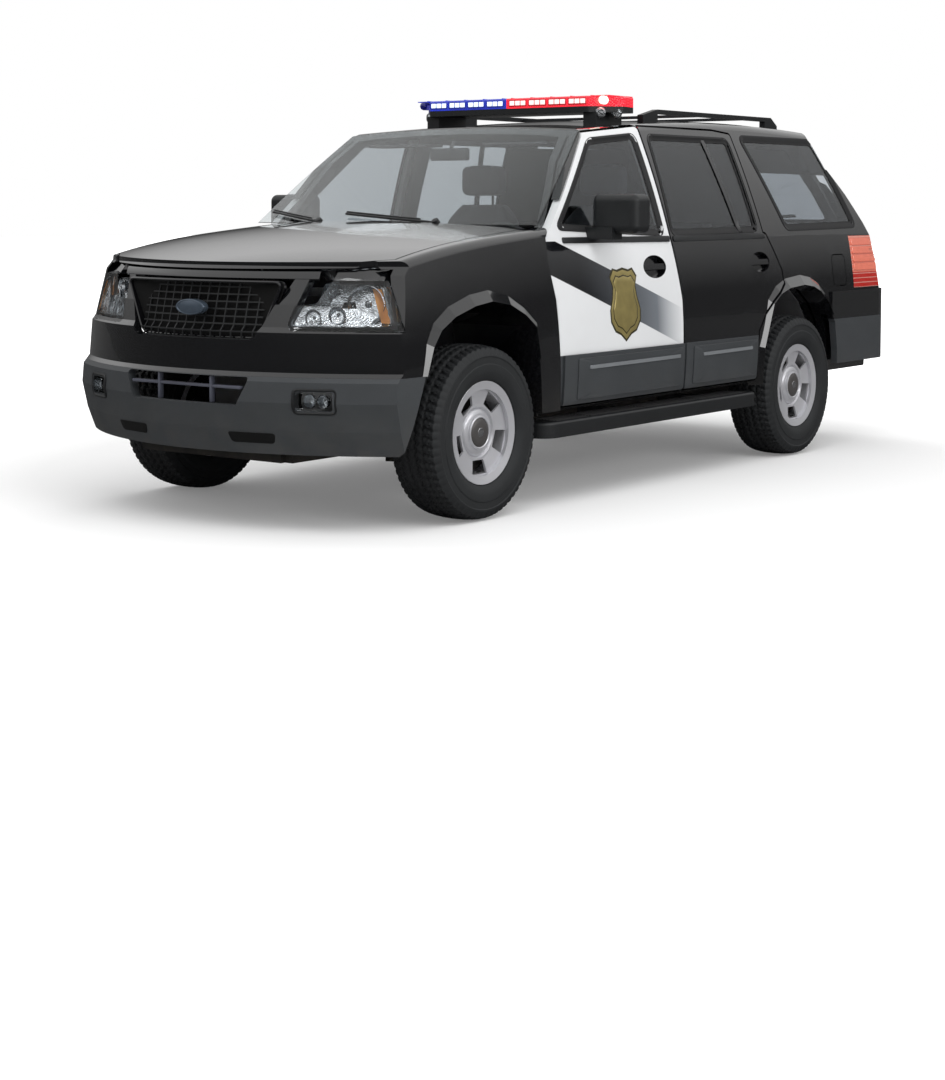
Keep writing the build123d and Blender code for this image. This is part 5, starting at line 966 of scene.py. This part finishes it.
    def wipers(self):
        """Two wiper arms that lie along the foot of the windshield."""
        glass = Skin(["windshield"], "front")
        for name, pivot, tip in self.WIPERS:
            path = []
            for k in range(13):
                y, z = (a + (b - a) * k / 12 for a, b in zip(pivot, tip))
                path.append(glass.at(y, z, 0.0, 1.20) + Vector((0.022, 0, 0.004)))
            form = Form().pipe(path, 0.0065, 8).pipe([p + Vector((-0.008, 0, 0.010)) for p in path[2:]],
                                                     0.0045, 6)
            form.turn([(0.0, 0.018), (0.016, 0.016), (0.020, 0.0), (0.020, -0.02)], path[0],
                      (0.55, 0, 0.8), 24)
            form.make(f"wiper_{name}", "black_plastic", "body", "plastic_black")


class LIGHT_OT_bar(bpy.types.Operator):
    """Makes the lamp modules, top ribs, end lamps and alley lamps of the light bar"""

    bl_idname = "police.light_bar"
    bl_label = "Light bar"

    PITCH = 0.128  # from one lamp module to the next
    # colour, side, finishes of the lit cells, ribs and end lamp
    HALVES = (("red", 1, "lit_red", "bar_red", "lit_warm"),
              ("blue", -1, "lit_blue", "bar_blue", "bar_dark_blue"))
    # top ribs: number, first place, pitch, inset from the faces, half width, sunk and proud depth
    RIBS = ((9, 0.545, 0.0105, 0.03, 0.0035, 0.003, 0.002), (5, 0.03, PITCH, 0.004, 0.004, 0.002, 0.0025))

    def execute(self, context):
        low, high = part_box("light_bar_red")
        for colour, sign, lit, tinted, end in self.HALVES:
            slot = f"lens_{colour}"
            frames, glow, ribs, pods = Form(), Form(), Form(), Form()
            for k in range(4):
                y = sign * (0.075 + self.PITCH * k)
                for face, way in ((high.x - 0.002, 1), (low.x + 0.002, -1)):
                    frames.block((face - 0.004, y - 0.058, low.z + 0.008),
                                 (face + 0.004, y + 0.058, high.z - 0.007), 0.003)
                    near, far = sorted((face + way * 0.001, face + way * 0.006))
                    for cell in (y - 0.036, y, y + 0.036):
                        glow.block((near, cell - 0.015, low.z + 0.016), (far, cell + 0.015, high.z - 0.015),
                                   0.0015)
            frames.make(f"bar_cells_{colour}", f"bar_frame_{colour}", "body", slot)
            glow.make(f"bar_glow_{colour}", lit, "body", slot)
            for count, first, pitch, inset, half, sunk, proud in self.RIBS:
                for k in range(count):
                    y = sign * (first + pitch * k)
                    ribs.block((low.x + inset, y - half, high.z - sunk),
                               (high.x - inset, y + half, high.z + proud), 0.0015)
            ribs.make(f"bar_ribs_{colour}", tinted, "body", slot)
            centre = ((low.x + high.x) / 2 + 0.075, sign * 0.585, (low.z + high.z) / 2 + 0.004)
            Form().turn([(0.000, 0.060), (0.010, 0.058), (0.019, 0.050), (0.0225, 0.040), (0.0225, 0.010)],
                        centre, (1, 0.25 * sign, 0), 36).make(f"bar_end_lamp_{colour}", end, "body", slot)
            for x, y in ((0.06, 0.55), (-0.02, 0.60)):
                pods.turn([(0.0, 0.045), (0.020, 0.044), (0.028, 0.036), (0.030, 0.010), (0.024, -0.02),
                           (0.0, -0.026)], (x, sign * y, 1.918), (0.8, 0.6 * sign, 0), 32)
            pods.make(f"alley_lamp_{colour}", "lamp_chrome", "body", "rim_silver")
        return {"FINISHED"}


class REAR_OT_trim(bpy.types.Operator):
    """Makes the tail lamp blocks, blank plate, rear glass seal, rear wiper and liftgate pull"""

    bl_idname = "police.rear_trim"
    bl_label = "Rear trim"

    # across and height of corners, seen from behind
    PLATE = ((-0.19, 1.02), (0.19, 1.02), (0.19, 1.135), (-0.19, 1.135))
    WINDOW = ((-0.648, 1.33), (0.648, 1.33), (0.585, 1.76), (-0.585, 1.76))
    PULL = ((-0.12, 1.19), (0.12, 1.19), (0.12, 1.235), (-0.12, 1.235))
    BLOCK_ENDS = (-2.125, -2.430)

    def execute(self, context):
        fore, aft = self.BLOCK_ENDS
        for side, _ in SIDES:
            skin, blocks = Skin(["tail_lamps"], side), Form()
            for k in range(4):
                low = 1.046 + 0.050 * k
                high = low + 0.041
                corners = ((fore, low), (fore, high), (aft, high), (aft, low))
                plate(blocks, skin, outline(corners, 0.008, 0.025), 0.006, 0.002, 4)
            blocks.make(f"tail_blocks_{side}", "tail_blocks", "body", "lens_red")
        skin = Skin(["liftgate", "liftgate_glass"], "rear")
        for name, corners, proud, finish in (("blank_plate", self.PLATE, 0.012, "bare_badge"),
                                             ("liftgate_pull", self.PULL, 0.010, "black_plastic")):
            plate(Form(), skin, outline(corners, 0.012), proud, 0.002).make(name, finish, "liftgate",
                                                                             "plastic_black")
        band(Form(), skin, outline(self.WINDOW, 0.05, 0.03), -0.015, 0.008, 0.004, 0.010).make(
            "rear_glass_seal", "rubber_trim", "liftgate", "plastic_black")
        arm = [skin.at(-0.02 + 0.042 * k, 1.352 + 0.0012 * k, 0.016, -2.45) for k in range(11)]
        wiper = Form().pipe(arm, 0.006, 8).pipe([p + Vector((0.010, 0, 0.010)) for p in arm[2:]], 0.004, 6)
        wiper.turn([(0.0, 0.020), (0.018, 0.018), (0.022, -0.004)], arm[0], (-1, 0, 0.2), 24)
        wiper.make("rear_wiper", "black_plastic", "liftgate", "plastic_black")
        return {"FINISHED"}


class BOARD_OT_ribs(bpy.types.Operator):
    """Makes the ribbed treads of the running boards"""

    bl_idname = "police.board_ribs"
    bl_label = "Running board ribs"

    RUNS = ((-0.78, -0.28), (-0.26, 0.24), (0.26, 0.76), (0.78, 1.06))  # ends of each length of tread

    def execute(self, context):
        low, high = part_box("running_boards")
        for side, sign in SIDES:
            form = Form()
            for y in (sign * (0.845 + 0.019 * k) for k in range(7)):
                for start, end in self.RUNS:
                    form.block((start, y - 0.0045, high.z - 0.004), (end, y + 0.0045, high.z + 0.0035), 0.002)
            form.make(f"board_tread_{side}", "rubber_trim", "body", "plastic_black")
        return {"FINISHED"}


class SEAT_OT_make(bpy.types.Operator):
    """Makes the padded front seats and rear bench with their headrests"""

    bl_idname = "police.seats"
    bl_label = "Seats"

    # node, and the middle and half width of each place
    ROWS = (("front_seats", 0.40, 0.25), ("rear_seat", 0.28, 0.26))
    SEAM = 0.62  # where the stitched seams run, as a share of the half width

    def execute(self, context):
        for name, middle, half in self.ROWS:
            low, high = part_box(name)
            form = Form()
            for y in (middle, -middle):
                self.cushion(form, (low.x + 0.16, y - half + 0.004, low.z + 0.004),
                             (high.x - 0.004, y + half - 0.004, low.z + 0.175), 0.018)
                self.back(form, low.x, y, half, low.z, high.z)
            seat = form.make(name + "_padding", "seat_cloth", "body", "cloth_gray", 60)
            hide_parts(name)
        return {"FINISHED"}

    def cushion(self, form, low, high, crown):
        """A crowned, soft-edged pad."""
        rows, count = 26, 56
        low, high = Vector(low), Vector(high)
        middle, size = (low + high) / 2, (high - low) / 2
        rings = []
        for r in range(rows + 1):
            v = -math.pi / 2 + math.pi * r / rows
            wide, z = soft(math.cos(v), 0.28), soft(math.sin(v), 0.42)
            ring = []
            for k in range(count):
                u = 2 * math.pi * k / count
                x, y = wide * soft(math.cos(u), 0.26), wide * soft(math.sin(u), 0.26)
                puff = (1 - x * x) * (1 - y * y)
                seam = 0.010 * math.exp(-((abs(y) - self.SEAM) / 0.05) ** 2)
                rise = z * (size.z - crown) + max(z, 0.0) * (crown * puff - seam)
                ring.append(middle + Vector((x * size.x, y * size.y, rise)))
            rings.append(ring)
        form.rings(rings, capped=True)

    def back(self, form, x, y, half, low_z, high_z):
        """A backrest that leans rearward and carries a headrest on two stems."""
        top, foot = high_z - 0.225, low_z + 0.10
        rows, count = 22, 48
        rings = []
        for r in range(rows + 1):
            t = r / rows
            round_end = min(1.0, 4.5 * t + 0.35, 4.5 * (1 - t) + 0.30)
            wide = (half - 0.006) * (1 - 0.14 * t ** 2) * round_end ** 0.35
            deep = 0.062 * round_end ** 0.5 * (1 + 0.25 * math.sin(math.pi * t))
            middle = Vector((x + 0.145 - 0.105 * t, y, foot + (top - foot) * t))
            ring = []
            for k in range(count):
                u = 2 * math.pi * k / count
                px, py = soft(math.cos(u), 0.5) * deep, soft(math.sin(u), 0.35) * wide
                if math.cos(u) > 0:
                    share = abs(py) / wide
                    px += 0.014 * share ** 3 - 0.008 * math.exp(-((share - self.SEAM) / 0.06) ** 2)
                ring.append(middle + Vector((px, py, 0)))
            rings.append(ring)
        form.rings(rings, capped=True)
        for stem in (y - 0.055, y + 0.055):
            form.pipe([(x + 0.045, stem, top - 0.03), (x + 0.042, stem, top + 0.09)], 0.007, 10)
        self.cushion(form, (x + 0.004, y - 0.13, top + 0.045), (x + 0.100, y + 0.13, high_z - 0.003), 0.006)


class CABIN_OT_details(bpy.types.Operator):
    """Makes the interior mirror, the dashboard's hood, vents and console, and the sun visors"""

    bl_idname = "police.cabin_details"
    bl_label = "Cabin details"

    def execute(self, context):
        mirror = Form().block((0.625, -0.125, 1.660), (0.650, 0.125, 1.725), 0.012, 3)
        mirror.pipe([(0.645, 0, 1.700), (0.600, 0, 1.760)], 0.010)
        mirror.make("interior_mirror", "cabin_plastic", "body", "interior_gray")
        low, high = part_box("dashboard")
        dash = Form()
        dash.block((low.x + 0.02, 0.20, high.z - 0.03), (low.x + 0.26, 0.60, high.z + 0.045), 0.03, 4)
        for y in (-0.62, -0.20, 0.10, 0.66):
            dash.block((low.x - 0.006, y - 0.05, high.z - 0.11), (low.x + 0.01, y + 0.05, high.z - 0.04),
                       0.006)
        dash.block((low.x - 0.010, -0.14, low.z + 0.04), (low.x + 0.02, 0.14, high.z - 0.13), 0.012)
        dash.make("dash_details", "cabin_plastic", "body", "interior_gray")
        for side, sign in SIDES:
            y = 0.38 * sign
            Form().block((0.46, y - 0.20, 1.735), (0.60, y + 0.20, 1.750), 0.006).make(
                f"sun_visor_{side}", "liner_felt", "body", "interior_gray")
        return {"FINISHED"}


class UNDER_OT_body(bpy.types.Operator):
    """Makes the exhaust with its silencer below the floor"""

    bl_idname = "police.underbody"
    bl_label = "Underbody"

    EXHAUST = ((1.20, -0.26, 0.40), (0.60, -0.30, 0.385), (0.10, -0.33, 0.385), (-0.55, -0.35, 0.385),
               (-0.95, -0.36, 0.40))

    def execute(self, context):
        pipe = Form().pipe(self.EXHAUST, 0.030, 14)
        pipe.turn([(0.03, -0.30), (0.095, -0.27), (0.10, -0.24), (0.10, 0.24), (0.095, 0.27), (0.03, 0.30)],
                  (0.10, -0.33, 0.365), (1, 0, 0), 32)
        pipe.make("exhaust_pipe", "dark_steel", "body", "steel_dark")
        return {"FINISHED"}


class STAGE_OT_make(bpy.types.Operator):
    """Makes the floor, the soft lamps and the camera at the photograph's angle"""

    bl_idname = "police.stage"
    bl_label = "Stage"

    # name, place, what it aims at, size and power of each soft lamp
    LAMPS = (("key", (3.5, 3.2, 6.4), (0, 0, 0.6), (7.0, 3.6), 230.0),
             ("far", (-4.5, -3.0, 5.8), (0, 0, 0.8), (6.0, 3.0), 120.0),
             ("side", (0.5, 8.5, 3.4), (0, 0, 1.0), (9.0, 1.4), 150.0))
    SHIFT = (-0.0089, -0.2009)  # the photograph's framing
    FLOOR_HALF = 60.0

    def execute(self, context):
        scene = context.scene
        settings = scene.police_stage
        scene.view_settings.view_transform = "Standard"
        self.world(scene)
        self.floor()
        for name, place, aim, size, power in self.LAMPS:
            lamp = bpy.data.lights.new(f"soft_{name}", "AREA")
            lamp.shape, lamp.size, lamp.size_y, lamp.energy = "RECTANGLE", size[0], size[1], power
            obj = bpy.data.objects.new(f"soft_{name}", lamp)
            obj.location = place
            obj.rotation_euler = (Vector(aim) - Vector(place)).to_track_quat("-Z", "Y").to_euler()
            obj.visible_glossy = name == "side"
            scene.collection.objects.link(obj)
        camera = bpy.data.cameras.new("viewpoint")
        camera.sensor_width, camera.lens = 36.0, settings.lens
        camera.shift_x, camera.shift_y = self.SHIFT
        camera.clip_end = 200.0
        obj = bpy.data.objects.new("viewpoint", camera)
        a, e, r = settings.heading, settings.pitch, settings.roll
        back = Vector((math.cos(a) * math.cos(e), math.sin(a) * math.cos(e), math.sin(e)))
        right = Vector((0, 0, 1)).cross(back).normalized()
        up = back.cross(right)
        across = right * math.cos(r) + up * math.sin(r)
        over = up * math.cos(r) - right * math.sin(r)
        turn = Matrix((across, over, back)).transposed().to_4x4()
        obj.matrix_world = Matrix.Translation(settings.camera) @ turn
        scene.collection.objects.link(obj)
        scene.camera = obj
        return {"FINISHED"}

    def world(self, scene):
        """Even pale light, and plain white behind the vehicle."""
        world = bpy.data.worlds.new("pale_room")
        world.use_nodes = True
        scene.world = world
        w = Wiring(world.node_tree)
        back = world.node_tree.nodes["Background"]
        back.inputs["Color"].default_value = (1, 1, 1, 1)
        place = w.put("ShaderNodeTexCoord").outputs["Generated"]
        height = w.put("ShaderNodeSeparateXYZ", {0: place}).outputs["Z"]
        rays = w.put("ShaderNodeLightPath")
        even = w.ramp(height, -0.05, 0.6, 0.55, 0.80)
        mirrored = w.ramp(height, 0.06, 0.42, 0.06, 0.85)
        glossy = rays.outputs["Is Glossy Ray"]
        sky = w.maths("ADD", w.maths("MULTIPLY", mirrored, glossy),
                      w.maths("MULTIPLY", even, w.maths("SUBTRACT", 1.0, glossy)))
        plain = w.maths("MAXIMUM", rays.outputs["Is Camera Ray"], rays.outputs["Is Transmission Ray"])
        world.node_tree.links.new(w.maths("MAXIMUM", sky, plain), back.inputs["Strength"])

    def floor(self):
        """A pale floor that is white to the camera and keeps the shadow."""
        size = self.FLOOR_HALF
        mesh = bpy.data.meshes.new("studio_floor")
        mesh.from_pydata([(-size, -size, 0), (size, -size, 0), (size, size, 0), (-size, size, 0)], [],
                         [(0, 1, 2, 3)])
        floor = bpy.data.objects.new("studio_floor", mesh)
        bpy.context.scene.collection.objects.link(floor)
        f = Finish("pale_floor", (0.80, 0.80, 0.80), 0.9)
        f.drift(0.01, 0.5)
        rays = f.w.put("ShaderNodeLightPath")
        f.colour = f.w.mix(rays.outputs["Is Glossy Ray"], f.colour, (0.05, 0.05, 0.05, 1))
        far = f.w.put("ShaderNodeVectorMath", {0: f.place}, operation="LENGTH").outputs["Value"]
        f.shader.inputs["Emission Color"].default_value = (1, 1, 1, 1)
        lift = f.w.ramp(far, 2.6, 7.0, 0.16, 1.0)
        f.tree.links.new(f.w.maths("MULTIPLY", rays.outputs["Is Camera Ray"], lift),
                         f.shader.inputs["Emission Strength"])
        mesh.materials.append(f.done())


class POLICE_PT_panel(bpy.types.Panel):
    """Lists the vehicle's operators in the sidebar"""

    bl_idname = "POLICE_PT_panel"
    bl_label = "Police SUV"
    bl_space_type = "VIEW_3D"
    bl_region_type = "UI"
    bl_category = "Police SUV"

    def draw(self, context):
        for group in ("police_paint", "police_tyres", "police_stage"):
            settings = getattr(context.scene, group)
            for key in settings.__annotations__:
                self.layout.prop(settings, key)
        for step in STEPS:
            self.layout.operator(step)


GROUPS = (("police_paint", PaintSettings), ("police_tyres", TyreSettings), ("police_stage", StageSettings))
CLASSES = (PAINT_OT_finishes, TYRES_OT_make, WHEEL_OT_make, TRIM_OT_sides, TRIM_OT_front, LIGHT_OT_bar,
           REAR_OT_trim, BOARD_OT_ribs, SEAT_OT_make, CABIN_OT_details, UNDER_OT_body, STAGE_OT_make,
           POLICE_PT_panel)
STEPS = ("police.finishes", "police.tyres", "police.wheel_trim", "police.side_trim", "police.front_trim",
         "police.light_bar", "police.rear_trim", "police.board_ribs", "police.seats", "police.cabin_details",
         "police.underbody", "police.stage")


def register():
    for name, group in GROUPS:
        bpy.utils.register_class(group)
        setattr(bpy.types.Scene, name, bpy.props.PointerProperty(type=group))
    for cls in CLASSES:
        bpy.utils.register_class(cls)


def unregister():
    for cls in reversed(CLASSES):
        bpy.utils.unregister_class(cls)
    for name, group in GROUPS:
        delattr(bpy.types.Scene, name)
        bpy.utils.unregister_class(group)


def main():
    register()
    for step in STEPS:
        module, call = step.split(".")
        getattr(getattr(bpy.ops, module), call)()


if __name__ == "__main__":
    main()
